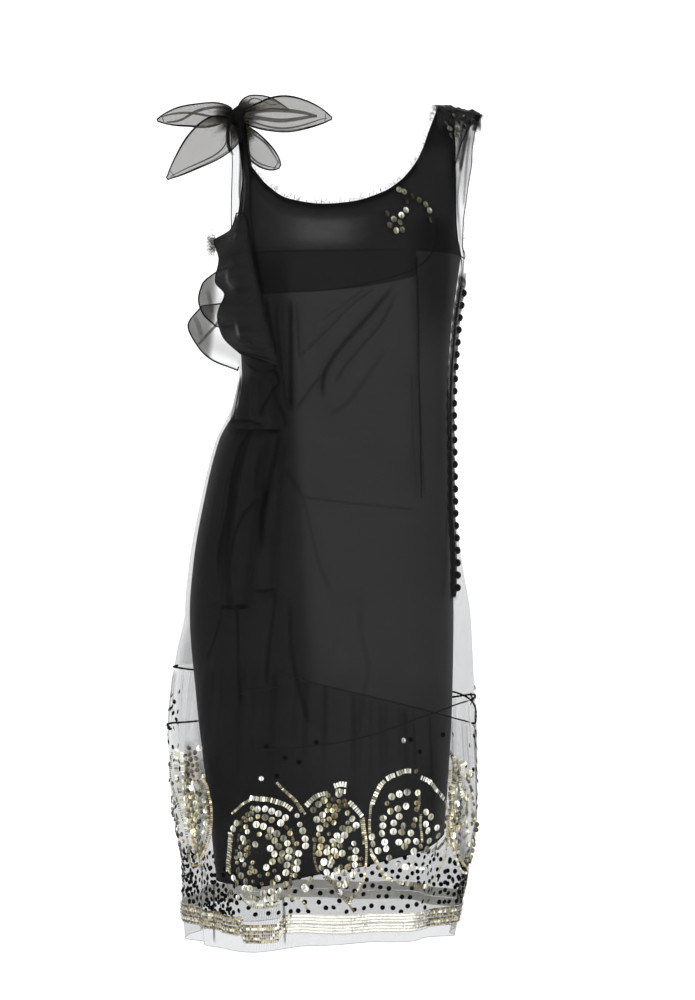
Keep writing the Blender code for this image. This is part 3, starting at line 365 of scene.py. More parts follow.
# Strings of sequins in each medallion, as read off: kind, tint, then places in the enlarged part.
MEDALLION_ROWS = {
    "right_side": (
        ("tape", "silver", (100, 210), (95, 300), (100, 400), (120, 520), (135, 640), (150, 760)),
        ("tape", "bright", (140, 225), (135, 320), (142, 430)),
        ("small", "silver", (142, 430), (150, 560), (160, 680), (165, 780)),
        ("small", "olive", (185, 270), (190, 340), (185, 420)),
        ("small", "gold", (190, 520), (190, 640), (190, 760), (190, 860), (200, 960)),
        ("small", "brown", (205, 200), (225, 300), (230, 400)),
        ("small", "gold", (215, 540), (220, 640), (225, 720), (222, 800), (225, 880), (245, 935)),
        ("small", "brown", (250, 230), (260, 300), (270, 370)),
        ("small", "olive", (255, 540), (265, 620), (262, 700), (255, 780), (268, 850), (262, 925)),
        ("small", "olive", (290, 480), (290, 560), (300, 640), (290, 720), (288, 790), (310, 850),
         (300, 905)),
        ("small", "silver", (320, 560), (332, 640), (338, 700), (332, 760), (325, 830)),
        ("bead", "gold", (290, 400), (330, 450), (352, 520), (366, 600), (373, 700), (370, 800),
         (350, 880), (310, 950), (240, 1010), (190, 1015)),
        ("bead", "brown", (275, 420), (315, 480), (340, 560), (352, 650), (355, 760), (340, 860),
         (300, 930), (235, 985)),
        ("bead", "olive", (80, 230), (78, 400), (108, 560), (150, 770), (185, 1000)),
        ("cup", "bright", (280, 195)),
        ("small", "bright", (190, 275)),
        ("cup", "bright", (250, 440), (212, 490)),
        ("small", "gold", (232, 500), (235, 560)),
        ("small", "olive", (160, 250), (165, 340), (168, 420), (172, 520)),
        ("small", "brown", (210, 420), (240, 480)),
    ),
    "right": (
        ("tape", "bright", (330, 330), (400, 335)),
        ("tape", "silver", (400, 335), (500, 345), (580, 370), (650, 400), (720, 450)),
        ("bead", "olive", (150, 480), (200, 440), (250, 390), (330, 350)),
        ("tape", "silver", (145, 680), (145, 800), (140, 950), (140, 1070)),
        ("bead", "gold", (168, 700), (165, 900), (160, 1080)),
        ("bead", "olive", (570, 180), (650, 260), (740, 340), (800, 410), (850, 490)),
        ("bead", "brown", (600, 210), (690, 300), (770, 390), (820, 470)),
        ("cup", "silver", (210, 580), (180, 640)),
        ("cup", "bright", (400, 440), (465, 440), (535, 465), (600, 490), (655, 530)),
        ("small", "gold", (405, 515)),
        ("cup", "olive", (465, 525), (535, 545)),
        ("cup", "silver", (605, 585)),
        ("small", "gold", (660, 630), (700, 680)),
        ("cup", "silver", (395, 600), (460, 615), (525, 650), (590, 695), (640, 740), (672, 790)),
        ("small", "gold", (435, 695)),
        ("cup", "olive", (505, 720), (560, 770), (600, 830)),
        ("cup", "silver", (405, 790), (465, 790)),
        ("cup", "bright", (525, 830)),
        ("cup", "silver", (560, 890)),
        ("cup", "olive", (545, 960)),
        ("cup", "bright", (510, 1020)),
        ("cup", "silver", (680, 850), (675, 925), (665, 990), (655, 1050), (640, 1110)),
        ("cup", "olive", (622, 880), (620, 945), (610, 1010)),
        ("cup", "silver", (590, 1140)),
        ("bead", "brown", (700, 640), (722, 760), (730, 860), (720, 960), (705, 1060), (690, 1160),
         (680, 1230)),
        ("small", "gold", (750, 790), (752, 840)),
        ("small", "olive", (345, 430), (345, 500), (340, 570)),
        ("small", "gold", (310, 500), (300, 570), (305, 640)),
        ("small", "brown", (270, 530), (250, 600), (265, 660)),
        ("small", "silver", (322, 670), (350, 700)),
        ("cup", "silver", (290, 740)),
        ("small", "olive", (275, 820), (320, 760)),
        ("small", "brown", (345, 770), (350, 860), (352, 930)),
        ("cup", "silver", (275, 890)),
        ("small", "silver", (300, 945), (322, 1000)),
        ("small", "gold", (330, 840), (325, 900)),
        ("cup", "olive", (262, 1050)),
        ("cup", "bright", (215, 1125)),
        ("cup", "olive", (250, 1180)),
        ("cup", "silver", (300, 1110), (345, 1170)),
        ("cup", "bright", (340, 1230)),
        ("cup", "silver", (385, 1240), (300, 1250)),
        ("small", "bright", (155, 1215)),
        ("small", "brown", (185, 1270), (200, 1320)),
        ("small", "bright", (268, 1330)),
        ("small", "gold", (370, 1080), (400, 1065), (432, 1060)),
        ("small", "olive", (380, 1030), (350, 1040)),
        ("cup", "olive", (545, 1180)),
        ("cup", "bright", (480, 1280)),
        ("cup", "silver", (540, 1255), (600, 1250)),
        ("cup", "olive", (650, 1195)),
        ("cup", "silver", (620, 1310), (510, 1330), (575, 1330)),
        ("small", "olive", (440, 1350), (400, 1310)),
        ("bead", "silver", (300, 1300), (360, 1370), (450, 1400), (540, 1390), (620, 1370)),
        ("bead", "olive", (320, 1350), (400, 1410), (500, 1420), (600, 1400)),
        ("bead", "gold", (680, 1300), (700, 1340), (760, 1330), (820, 1370), (860, 1450)),
        ("small", "bright", (770, 510)),
        ("small", "silver", (790, 580)),
        ("cup", "silver", (820, 655)),
        ("cup", "bright", (840, 730), (855, 812)),
        ("cup", "bright", (775, 885)),
        ("cup", "silver", (770, 965)),
        ("cup", "bright", (755, 1037)),
        ("small", "olive", (738, 1105), (735, 1150)),
        ("small", "brown", (700, 1180), (720, 1210)),
        ("cup", "bright", (835, 1230), (815, 1285)),
        ("small", "bright", (420, 140)),
    ),
    "middle": (
        ("tape", "silver", (140, 380), (200, 310), (260, 280), (330, 265)),
        ("tape", "bright", (410, 195), (460, 182), (515, 190)),
        ("tape", "silver", (425, 245), (500, 252)),
        ("cup", "bright", (450, 275)),
        ("small", "brown", (350, 285), (390, 250)),
        ("small", "brown", (395, 320), (440, 340), (520, 330)),
        ("small", "brown", (355, 380), (410, 385), (460, 385), (515, 380)),
        ("small", "gold", (330, 430), (440, 420)),
        ("cup", "olive", (305, 340), (230, 375), (185, 430)),
        ("cup", "silver", (290, 470)),
        ("cup", "gold", (400, 470), (460, 482)),
        ("small", "olive", (520, 445)),
        ("cup", "silver", (555, 500)),
        ("tape", "silver", (545, 350), (590, 400)),
        ("tape", "bright", (590, 400), (630, 450), (660, 490)),
        ("cup", "bright", (600, 565)),
        ("cup", "silver", (230, 510), (190, 550)),
        ("small", "gold", (300, 520), (350, 515), (400, 545)),
        ("small", "olive", (320, 555), (360, 580)),
        ("cup", "silver", (265, 600)),
        ("small", "gold", (240, 655), (200, 705)),
        ("cup", "gold", (280, 700), (262, 780), (242, 850)),
        ("cup", "silver", (270, 965)),
        ("bead", "brown", (210, 740), (205, 850), (220, 940), (240, 1000)),
        ("bead", "gold", (665, 500), (680, 600), (690, 720), (690, 850), (685, 950), (665, 1060),
         (630, 1130), (580, 1200), (540, 1260), (510, 1290)),
        ("bead", "olive", (648, 520), (662, 620), (670, 740)),
        ("cup", "silver", (470, 600)),
        ("cup", "olive", (525, 605)),
        ("cup", "bright", (425, 660), (545, 655)),
        ("cup", "silver", (380, 710), (455, 700)),
        ("small", "olive", (395, 760), (440, 760), (485, 770)),
        ("small", "olive", (330, 770), (350, 740)),
        ("cup", "silver", (330, 815), (392, 800), (450, 820), (500, 832)),
        ("small", "gold", (360, 870), (410, 860), (455, 868)),
        ("cup", "bright", (295, 910), (420, 905)),
        ("small", "silver", (350, 945), (380, 975)),
        ("small", "olive", (450, 950)),
        ("cup", "gold", (512, 950)),
        ("cup", "bright", (320, 1010), (390, 1037)),
        ("cup", "silver", (415, 985), (480, 1020)),
        ("small", "silver", (575, 740)),
        ("cup", "bright", (590, 800), (585, 872), (585, 948)),
        ("cup", "silver", (555, 1030)),
        ("small", "olive", (535, 880), (540, 960)),
        ("cup", "silver", (500, 1090)),
        ("cup", "bright", (440, 1200)),
        ("small", "silver", (435, 1130), (520, 1140), (480, 1160)),
        ("cup", "olive", (160, 1070)),
        ("cup", "bright", (110, 1165), (90, 1207)),
        ("bead", "brown", (300, 1060), (380, 1130), (430, 1220), (500, 1290), (570, 1390)),
        ("bead", "brown", (320, 1050), (400, 1120), (450, 1210), (520, 1280)),
        ("bead", "silver", (640, 1100), (600, 1180), (540, 1250), (520, 1300)),
        ("small", "olive", (560, 1230), (600, 1200)),
    ),
    "left": (
        ("tape", "silver", (90, 385), (110, 330), (150, 250), (190, 200)),
        ("tape", "bright", (205, 190), (240, 168), (262, 160)),
        ("tape", "silver", (290, 150), (340, 130), (395, 130)),
        ("small", "olive", (430, 130), (455, 155)),
        ("tape", "bright", (480, 180), (530, 212)),
        ("tape", "silver", (535, 215), (580, 260), (620, 300)),
        ("tape", "bright", (625, 310), (665, 360)),
        ("bead", "gold", (670, 370), (690, 450), (692, 560), (692, 700), (682, 800), (650, 880),
         (610, 950), (560, 1000), (500, 1040)),
        ("bead", "silver", (705, 600), (698, 740), (672, 840), (630, 920)),
        ("tape", "silver", (500, 1048), (450, 1052)),
        ("tape", "brown", (440, 1050), (400, 1045), (350, 1030)),
        ("tape", "silver", (340, 1030), (260, 1010)),
        ("bead", "silver", (240, 1000), (180, 940), (120, 850), (80, 790), (60, 740)),
        ("bead", "gold", (225, 1000), (165, 945), (105, 855), (65, 790)),
        ("bead", "olive", (75, 400), (60, 520), (60, 620)),
        ("cup", "silver", (75, 655), (88, 710)),
        ("cup", "bright", (125, 770)),
        ("small", "olive", (200, 385)),
        ("cup", "silver", (250, 340)),
        ("cup", "bright", (305, 310), (368, 297)),
        ("cup", "silver", (435, 305)),
        ("cup", "olive", (237, 450)),
        ("cup", "silver", (290, 425)),
        ("cup", "bright", (350, 405), (350, 455)),
        ("cup", "silver", (300, 485)),
        ("small", "gold", (425, 385), (420, 435)),
        ("small", "olive", (410, 510), (405, 570)),
        ("bead", "brown", (450, 340), (445, 420), (420, 450)),
        ("bead", "olive", (455, 480), (450, 560), (460, 640), (460, 700)),
        ("cup", "silver", (495, 455), (550, 515)),
        ("cup", "bright", (585, 578)),
        ("cup", "silver", (600, 643)),
        ("cup", "silver", (175, 503)),
        ("cup", "bright", (165, 562)),
        ("cup", "silver", (160, 632)),
        ("cup", "bright", (178, 695), (200, 755)),
        ("cup", "silver", (222, 818)),
        ("cup", "bright", (260, 548)),
        ("cup", "silver", (328, 562)),
        ("cup", "bright", (258, 615)),
        ("cup", "olive", (315, 620)),
        ("cup", "silver", (385, 620)),
        ("cup", "bright", (490, 555), (510, 625)),
        ("cup", "silver", (512, 685)),
        ("cup", "bright", (298, 690)),
        ("cup", "silver", (355, 685)),
        ("cup", "bright", (415, 690)),
        ("cup", "bright", (395, 765)),
        ("cup", "olive", (335, 735)),
        ("small", "gold", (440, 735)),
        ("cup", "olive", (492, 745)),
        ("small", "bright", (280, 865)),
        ("cup", "bright", (335, 893)),
        ("bead", "bright", (370, 880), (430, 905), (490, 900), (540, 880)),
        ("small", "olive", (585, 700), (550, 800)),
        ("small", "bright", (326, -120)),
    ),
    "left_side": (
        ("tape", "olive", (735, 20), (750, 100), (735, 180), (722, 260), (735, 340)),
        ("tape", "silver", (790, 40), (802, 110), (782, 200), (790, 280), (802, 340)),
        ("small", "bright", (820, 70)),
        ("small", "bright", (860, 155)),
        ("cup", "bright", (765, 390)),
        ("cup", "bright", (740, 640)),
        ("small", "gold", (762, 60), (752, 150), (762, 220)),
        ("small", "silver", (800, 250), (830, 290)),
        ("small", "olive", (812, 350), (842, 380)),
        ("small", "silver", (740, 410), (790, 425)),
        ("small", "olive", (745, 480), (790, 470)),
        ("small", "silver", (812, 530), (770, 540)),
        ("small", "gold", (740, 560), (770, 600)),
        ("small", "silver", (820, 620), (790, 660)),
        ("small", "silver", (832, 690), (800, 740)),
        ("small", "olive", (762, 690), (760, 740)),
        ("small", "gold", (712, 600), (722, 680), (735, 760)),
        ("small", "olive", (850, 480), (862, 540)),
        ("small", "brown", (885, 560), (872, 605)),
        ("small", "olive", (850, 640), (845, 720), (828, 780)),
        ("bead", "silver", (735, 760), (745, 850), (760, 930), (800, 940)),
        ("bead", "gold", (755, 770), (765, 850), (790, 910)),
        ("bead", "brown", (700, 300), (715, 420), (705, 520), (715, 640)),
        ("bead", "gold", (722, 330), (730, 440), (722, 540), (728, 640)),
        ("tape", "gold", (860, 130), (880, 180)),
        ("bead", "brown", (870, 780), (830, 900), (790, 1000), (745, 1120)),
        ("bead", "olive", (850, 420), (870, 480), (880, 540)),
        ("small", "olive", (800, 800), (785, 860)),
        ("small", "gold", (790, 560), (745, 600)),
        ("bead", "olive", (705, 90), (702, 180), (698, 260)),
    ),
}
MEDALLION_FILLS = {
    "right_side": ((-1, -4), (23, 62), (0, 0), 3.2, 7, ("gold", "olive", "silver", "brown", "olive")),
    "left_side": ((1, -5), (13, 62), (0, 0), 3.4, 4, ("silver", "olive", "gold", "olive")),
    "right": ((-1, -14), (32, 52), (9, 14), 5.6, 4, ("olive", "gold", "brown", "olive")),
    "middle": ((1, -6), (31, 54), (4, 6), 6.0, 4, ("olive", "gold", "brown", "silver")),
}
MEDALLIONS = (
    # pattern, x and height of its middle, back
    *((name, *picture_place(*reading[-2:]), False) for name, reading in MEDALLION_READINGS.items()),
    ("left", -0.1300, -0.8350, True), ("right", -0.0420, -0.8400, True),
    ("middle", 0.0330, -0.8400, True), ("left", 0.1090, -0.8330, True),
)
# kind: radius of a cup or half width of a bar, distance between two
SEQUIN_KINDS = {
    "filling": (0.0025, 0.0040),
    "cup": (0.0041, 0.0083), "small": (0.0031, 0.0064), "tape": (0.0027, 0.0029), "bead": (0.0015, 0.0022),
}
# Tints of the sequins, partly their own colours and partly painted light: bright stands partly for sequins
# that catch the light, a painted highlight, and olive and brown partly for sequins in shade, a painted shade.
TINTS = {
    "bright": (0.90, 0.88, 0.79), "silver": (0.54, 0.53, 0.43), "olive": (0.26, 0.25, 0.17),
    "gold": (0.42, 0.36, 0.22), "brown": (0.12, 0.095, 0.06),
}
TAPE_HEIGHTS = (-0.94475, -0.95575)
TAPE_WIDTHS = (0.0102, 0.0098)
# Rows of bars on a tape: share of its width from its middle, tints at the sides.
TAPE_ROWS = (
    (-0.34, ("gold", "olive", "brown")), (0.0, ("silver", "gold", "bright")), (0.34, ("gold", "brown")),
)
# Where the hem is pleated at the right front, the tape hangs lower: start and end around, drop.
TAPE_DROPS = ((-0.060, 0.107, 0.0035), (0.143, 0.177, 0.0020), (0.177, 0.214, 0.0095))

# Button line, stand and buttons.
BUTTON_LINE = (
    # height, around
    (-0.214, 0.460), (-0.245, 0.455), (-0.290, 0.459), (-0.330, 0.456), (-0.400, 0.454),
    (-0.460, 0.450), (-0.500, 0.443), (-0.540, 0.432), (-0.580, 0.415),
)
BUTTON_COUNT = 25
BUTTON_RADIUS = 0.0046
BUTTON_THICKNESS = 0.0072
STAND_WIDTH = 0.0095
STAND_FACE = 0.0021
STAND_TOP = -0.214
STAND_BOTTOM = -0.580
FIRST_BUTTON = -0.222
LAST_BUTTON = -0.570
SEAM_GAP = 0.0003

# Bow.
KNOT_CENTRE = (-0.1262, -0.0320, -0.0160)
KNOT_SIZE = (0.0102, 0.0078, 0.0128)
PETAL_ROOT_SHARE = 0.08
PETAL_TIP_WIDTH = 0.03
PETALS = (
    # root, bend, tip, widest half width, way across, cup, exponent that moves the widest place,
    # exponent that makes the ends rounder
    ((-0.1340, -0.0320, -0.0113), (-0.176, -0.036, -0.0140), (-0.221, -0.030, -0.0190),
     0.0188, (0.10, -0.70, 0.60), 0.0040, 0.85, 0.65),
    ((-0.1311, -0.0351, -0.0239), (-0.167, -0.052, -0.0530), (-0.2085, -0.046, -0.0895),
     0.0258, (0.68, -0.25, -0.72), 0.0050, 0.65, 0.75),
    ((-0.1229, -0.0275, -0.0070), (-0.098, -0.004, 0.0065), (-0.067, 0.032, 0.002),
     0.0115, (-0.35, 0.30, 0.70), 0.0030, 0.85, 0.75),
    ((-0.1184, -0.0347, -0.0151), (-0.068, -0.055, -0.0150), (-0.0155, -0.058, -0.0205),
     0.0228, (0.05, 0.30, 0.95), 0.0050, 1.00, 0.75),
    ((-0.1215, -0.0192, -0.0280), (-0.102, -0.0290, -0.0545), (-0.0765, -0.0450, -0.0755),
     0.0150, (0.70, -0.24, 0.68), -0.0020, 1.10, 0.50),
)
# Folds pressed into the petals: petal, half width, then places as (share of length, share across).
# Each fold is a strip of extra layers that darkens the petal: partly cloth lying double, partly painted shade
# in the fold.
PETAL_FOLDS = (
    (1, 0.0024, ((0.03, 0.5), (0.25, 0.40), (0.50, 0.10), (0.70, -0.45), (0.90, -0.75))),
    (1, 0.0020, ((0.05, -0.5), (0.30, -0.35), (0.60, 0.10), (0.93, 0.5))),
    (2, 0.0010, ((0.03, -0.2), (0.30, 0.66), (0.60, 0.74), (0.96, 0.45))),
    (2, 0.0007, ((0.05, 0.3), (0.16, -0.35), (0.30, -0.55))),
    (3, 0.0011, ((0.05, 0.4), (0.35, -0.35), (0.62, 0.30), (0.95, -0.2))),
    (3, 0.0010, ((0.05, -0.5), (0.30, 0.45), (0.60, -0.55), (0.85, 0.2))),
    (4, 0.0026, ((0.03, 0.15), (0.25, 0.12), (0.50, 0.08), (0.70, 0.02), (0.84, -0.12))),
    (4, 0.0026, ((0.03, -0.15), (0.22, -0.36), (0.45, -0.46), (0.66, -0.36), (0.84, -0.12))),
    (4, 0.0013, ((0.03, -0.45), (0.22, -0.74), (0.48, -0.84), (0.75, -0.72), (0.95, -0.30))),
    (5, 0.0012, ((0.03, 0.5), (0.30, 0.72), (0.60, 0.80), (0.96, 0.50))),
    (5, 0.0010, ((0.03, -0.4), (0.30, -0.66), (0.60, -0.76), (0.96, -0.50))),
)

# Frill, flounces, drape and tails at the right side, as shares of the way down or rows of height.
FRILL_LIFT = 0.0010
FLOUNCE_LIFT = 0.0005
TAIL_EDGE_LIFT = 0.0003
DRAPE_EDGE_LIFT = 0.0017
CLOTH_WALL = 0.0012
FRILL_WAVES = 4.5
FRILL_WAVE_DEPTH = 0.0060
FRILL_BELLY = 0.0100
FRILL = (
    # share of its length, x and height of the sewn edge, x, y and height of the free edge
    (0.00, -0.1150, -0.1330, -0.1270, -0.0520, -0.1310),
    (0.08, -0.1125, -0.1445, -0.1345, -0.0450, -0.1490),
    (0.16, -0.1100, -0.1560, -0.1530, -0.0400, -0.1630),
    (0.28, -0.1060, -0.1760, -0.1480, -0.0480, -0.1840),
    (0.42, -0.1000, -0.2050, -0.1520, -0.0450, -0.2100),
    (0.53, -0.0945, -0.2290, -0.1410, -0.0560, -0.2260),
    (0.68, -0.0860, -0.2600, -0.1495, -0.0500, -0.2520),
    (0.80, -0.0790, -0.2870, -0.1430, -0.0540, -0.2750),
    (1.00, -0.0720, -0.3130, -0.1230, -0.0520, -0.2950),
)
# See-through places of the frill: share of its length, from and to which share of its width.
FRILL_SLITS = ((0.42, 0.66, 0.80), (0.74, 0.60, 0.74), (0.84, 0.42, 0.56))
FLOUNCE_UPPER = (
    # share, around and height of the sewn edge, x, y and height of the free edge
    (0.00, 0.030, -0.1900, -0.1500, -0.0180, -0.1950),
    (0.25, 0.028, -0.2080, -0.1680, -0.0240, -0.2110),
    (0.50, 0.026, -0.2270, -0.1735, -0.0140, -0.2290),
    (0.75, 0.024, -0.2460, -0.1680, -0.0240, -0.2460),
    (1.00, 0.022, -0.2620, -0.1530, -0.0160, -0.2610),
)
FLOUNCE_LOWER = (
    # share, around and height of the sewn edge, x, y and height of the free edge
    (0.00, 0.994, -0.2300, -0.1710, 0.0100, -0.2350),
    (0.25, 0.994, -0.2500, -0.1870, 0.0040, -0.2590),
    (0.48, 0.994, -0.2700, -0.1765, 0.0120, -0.2820),
    (0.72, 0.994, -0.2860, -0.1610, 0.0060, -0.2980),
    (1.00, 0.994, -0.3050, -0.1280, 0.0080, -0.3120),
)
DRAPE = (
    # height, right edge x, left edge x, how far it stands off the net at its middle
    (-0.3180, -0.1220, -0.0790, 0.0090),
    (-0.3330, -0.1230, -0.0770, 0.0110),
    (-0.3500, -0.1260, -0.0740, 0.0130),
    (-0.3680, -0.1300, -0.0690, 0.0150),
    (-0.3850, -0.1350, -0.0665, 0.0160),
)
TAILS = (
    # rows of height, right edge x, left edge x, stand-off at the middle
    ((-0.3880, -0.1260, -0.1105, 0.0060), (-0.4670, -0.1390, -0.1270, 0.0060),
     (-0.5380, -0.1490, -0.1340, 0.0050), (-0.5890, -0.1500, -0.1300, 0.0045)),
    ((-0.3880, -0.1080, -0.0790, 0.0100), (-0.4670, -0.1245, -0.0920, 0.0120),
     (-0.5380, -0.1315, -0.1025, 0.0110), (-0.5920, -0.1275, -0.1080, 0.0080)),
    ((-0.3880, -0.0765, -0.0660, 0.0080), (-0.4670, -0.0895, -0.0705, 0.0090),
     (-0.5380, -0.1000, -0.0760, 0.0090), (-0.5760, -0.1050, -0.0800, 0.0060)),
)


@lru_cache(maxsize=None)
def sorted_rows(table):
    return tuple(sorted(table))


def slope(rows, index, column):
    """Tangent at a row of a monotone curve: flat where the values turn, and at the ends a chord."""
    def chord(first):
        return (rows[first + 1][column] - rows[first][column]) / (rows[first + 1][0] - rows[first][0])

    if index == 0:
        return chord(0)
    if index == len(rows) - 1:
        return chord(index - 1)
    before = chord(index - 1)
    after = chord(index)
    if before * after <= 0:
        return 0.0
    return 2 * before * after / (before + after)


@lru_cache(maxsize=200000)
def blend(table, key):
    """The other columns of a table at a key in its first column, on smooth curves through its rows."""
    rows = sorted_rows(table)
    if key <= rows[0][0]:
        return rows[0][1:]
    if key >= rows[-1][0]:
        return rows[-1][1:]
    index = max(i for i, row in enumerate(rows) if row[0] <= key)
    low = rows[index]
    high = rows[index + 1]
    span = high[0] - low[0]
    t = (key - low[0]) / span
    values = []
    for column in range(1, len(low)):
        start = slope(rows, index, column) * span
        end = slope(rows, index + 1, column) * span
        values.append((2 * t**3 - 3 * t**2 + 1) * low[column] + (t**3 - 2 * t**2 + t) * start
                      + (3 * t**2 - 2 * t**3) * high[column] + (t**3 - t**2) * end)
    return tuple(values)


def smooth_step(value):
    value = min(max(value, 0.0), 1.0)
    return value * value * (3 - 2 * value)


def turn_distance(first, second):
    return abs((first - second + 0.5) % 1.0 - 0.5)


def fold_depth(folds, around, height):
    """How far the folds push the cloth out at a place, full at the hem and none where they start."""
    total = 0.0
    for centre, half_width, start, depth in folds:
        distance = turn_distance(around, centre)
        if distance < 2 * half_width and height < start:
            growth = smooth_step((start - height) / (start - FOLD_FULL_AT))
            total += depth * growth * math.cos(distance / half_width * math.pi / 4) ** 2
    return total


def drag_depth(x, height):
    """How far the creases push the front out at a place; each fades along its length."""
    total = 0.0
    for x0, z0, x1, z1, half_width, depth in DRAG_FOLDS:
        run = (x1 - x0, z1 - z0)
        length = math.hypot(*run)
        along = ((x - x0) * run[0] + (height - z0) * run[1]) / length ** 2
        if not -0.1 < along < 1.1:
            continue
        off = abs((x - x0) * run[1] - (height - z0) * run[0]) / length
        if off < 2 * half_width:
            fade = math.sin(math.pi * min(max((along + 0.1) / 1.2, 0.0), 1.0)) ** 0.7
            total += depth * fade * math.cos(off / half_width * math.pi / 4) ** 2
    return total


def section_point(section, around, height, outwards):
    """A point on the squared ellipse of one section, pushed outwards."""
    right, left, front, back = section
    angle = 2 * math.pi * around
    along = math.cos(angle)
    across = math.sin(angle)
    power = 2 / FULLNESS
    half_width = (left - right) / 2 + outwards
    depth = (SIDE_DEPTH - front if across > 0 else back - SIDE_DEPTH) + outwards
    x = (left + right) / 2 - half_width * math.copysign(abs(along) ** power, along)
    y = SIDE_DEPTH - depth * math.copysign(abs(across) ** power, across)
    return Vector((x, y, height))


def slip_point(around, height, outwards=0.0):
    outwards += fold_depth(SLIP_FOLDS, around, height)
    place = section_point(blend(SLIP_SECTIONS, height), around, height, outwards)
    place.y -= drag_depth(place.x, height) * front_share(around)
    return place


def front_share(around):
    """1 on the front, falling to 0 at the side seams and on the back."""
    return smooth_step(math.sin(2 * math.pi * around) * 2.0)


def gather_wave(around):
    """Uneven fine gathers, between about -1 and 1."""
    turn = 2 * math.pi * around
    return 0.45 * (math.sin(31 * turn + 0.7) + 0.7 * math.sin(53 * turn + 2.1)
                   + 0.4 * math.sin(17 * turn + 4.0) + 0.6 * math.sin(89 * turn + 1.3))


def gather_fade(around, height):
    """How strong the gathers are: full just below the tier seam, gone where wide folds take over."""
    drop = blend(TIER_SEAM, around % 1.0)[0] - height
    if not 0.0 <= drop < 0.16:
        return 0.0
    return smooth_step(drop / 0.012) * smooth_step((0.16 - drop) / 0.15)


def gather_depth(around, height):
    return 0.0022 * gather_wave(around) * gather_fade(around, height)


def net_point(around, height, outwards=0.0):
    *ease, rise = blend(NET_EASE, height)
    right, left, front, back = blend(SLIP_SECTIONS, height)
    section = (right - ease[0], left + ease[1], front - ease[2], back + ease[3])
    outwards += fold_depth(NET_FOLDS, around, height) + gather_depth(around, height)
    place = section_point(section, around, height + rise, outwards)
    place.y -= drag_depth(place.x, height) * front_share(around) * 0.8
    return place


def around_at(point, x, height, back=False):
    """The place around a surface where a front or back point has this x."""
    right_side = point(0.0, height).x
    left_side = point(0.5, height).x
    share = ((left_side + right_side) / 2 - x) / ((left_side - right_side) / 2)
    share = min(max(share, -1.0), 1.0)
    around = math.acos(math.copysign(abs(share) ** (FULLNESS / 2), share)) / (2 * math.pi)
    return 1.0 - around if back else around


def shoulder_drop(x, height):
    """The shoulder slopes down to the arm, less and less below its ridge."""
    weight = smooth_step(1 + height / SHOULDER_DEPTH)
    return SHOULDER_SLOPE * max(abs(x) - SHOULDER_TOP, 0.0) * weight


def on_surface(point, x, height, back=False):
    place = point(around_at(point, x, height, back), height)
    place.z -= shoulder_drop(x, height)
    return place


def facing(point, around, height):
    """A place on a surface with its directions out, up along it and to the wearer's left."""
    step = 0.003
    centre = point(around, height)
    along = point(around + step, height) - point(around - step, height)
    up = (point(around, height + step) - point(around, height - step)).normalized()
    out = along.cross(up).normalized()
    return centre, out, up


def seen_place(point, x, height):
    """The place on the front of a surface seen at this x and height on the shoulders' plane."""
    depth = -0.1
    for _ in range(4):
        nearer = (CAMERA_DISTANCE + depth) / CAMERA_DISTANCE
        place_x = CAMERA_X + (x - CAMERA_X) * nearer
        place_height = CAMERA_HEIGHT + (height - CAMERA_HEIGHT) * nearer
        place = on_surface(point, place_x, place_height)
        depth = place.y
    return place, facing(point, around_at(point, place_x, place_height), place_height)[1]


def evenly(count, start, end):
    return [start + (end - start) * index / count for index in range(count + 1)]


def along_curve(table, count):
    """Points spaced evenly by length on the smooth curve through a table's rows of x and height."""
    samples = 400
    fine = [(x, blend(table, x)[0]) for x in evenly(samples, table[0][0], table[-1][0])]
    lengths = [0.0]
    for before, after in zip(fine, fine[1:]):
        lengths.append(lengths[-1] + math.dist(before, after))
    points = []
    for target in evenly(count, 0.0, lengths[-1]):
        index = next(i for i in range(1, len(fine)) if lengths[i] >= target - 1e-9)
        share = (target - lengths[index - 1]) / (lengths[index] - lengths[index - 1])
        points.append(tuple(a + (b - a) * share for a, b in zip(fine[index - 1], fine[index])))
    return points


def coons_patch(bottom, top, right, left):
    """Rows of (x, height) points inside four edges, each edge a list of such points."""
    rows = []
    for i in range(len(right)):
        v = i / (len(right) - 1)
        row = []
        for j in range(len(bottom)):
            u = j / (len(bottom) - 1)
            row.append(tuple(
                (1 - v) * bottom[j][k] + v * top[j][k] + (1 - u) * right[i][k] + u * left[i][k]
                - (1 - u) * (1 - v) * bottom[0][k] - u * (1 - v) * bottom[-1][k]
                - (1 - u) * v * top[0][k] - u * v * top[-1][k]
                for k in range(2)))
        rows.append(row)
    return rows


def armhole_edge(seam, armholes, column, base):
    """Points up an armhole, from the side seam at the underarm to the strap's base."""
    edge = [seam]
    for share in evenly(YOKE_ROWS, 0.0, 1.0)[1:-1]:
        height = seam[1] + (base[1] - seam[1]) * share ** ARMHOLE_ROUNDING
        x = blend(armholes, height)[column]
        near_seam = smooth_step(1 - share / 0.25)
        edge.append((x + (seam[0] - x) * near_seam, height))
    edge.append(base)
    return edge


def strap_rows(table, overhang, cells):
    """Rows of (x, height) points across a strap, from its base to the shoulder's ridge."""
    rows = []
    for share in evenly(STRAP_ROWS, 0.0, 1.0):
        height, inner, outer = blend(table, share)
        reach = overhang + (NET_OVERHANG_AT_RIDGE - overhang) * share if overhang else 0.0
        outer += math.copysign(reach, outer)
        across = evenly(cells, outer, inner) if outer < 0 else evenly(cells, inner, outer)
        rows.append([(x, height) for x in across])
    return rows


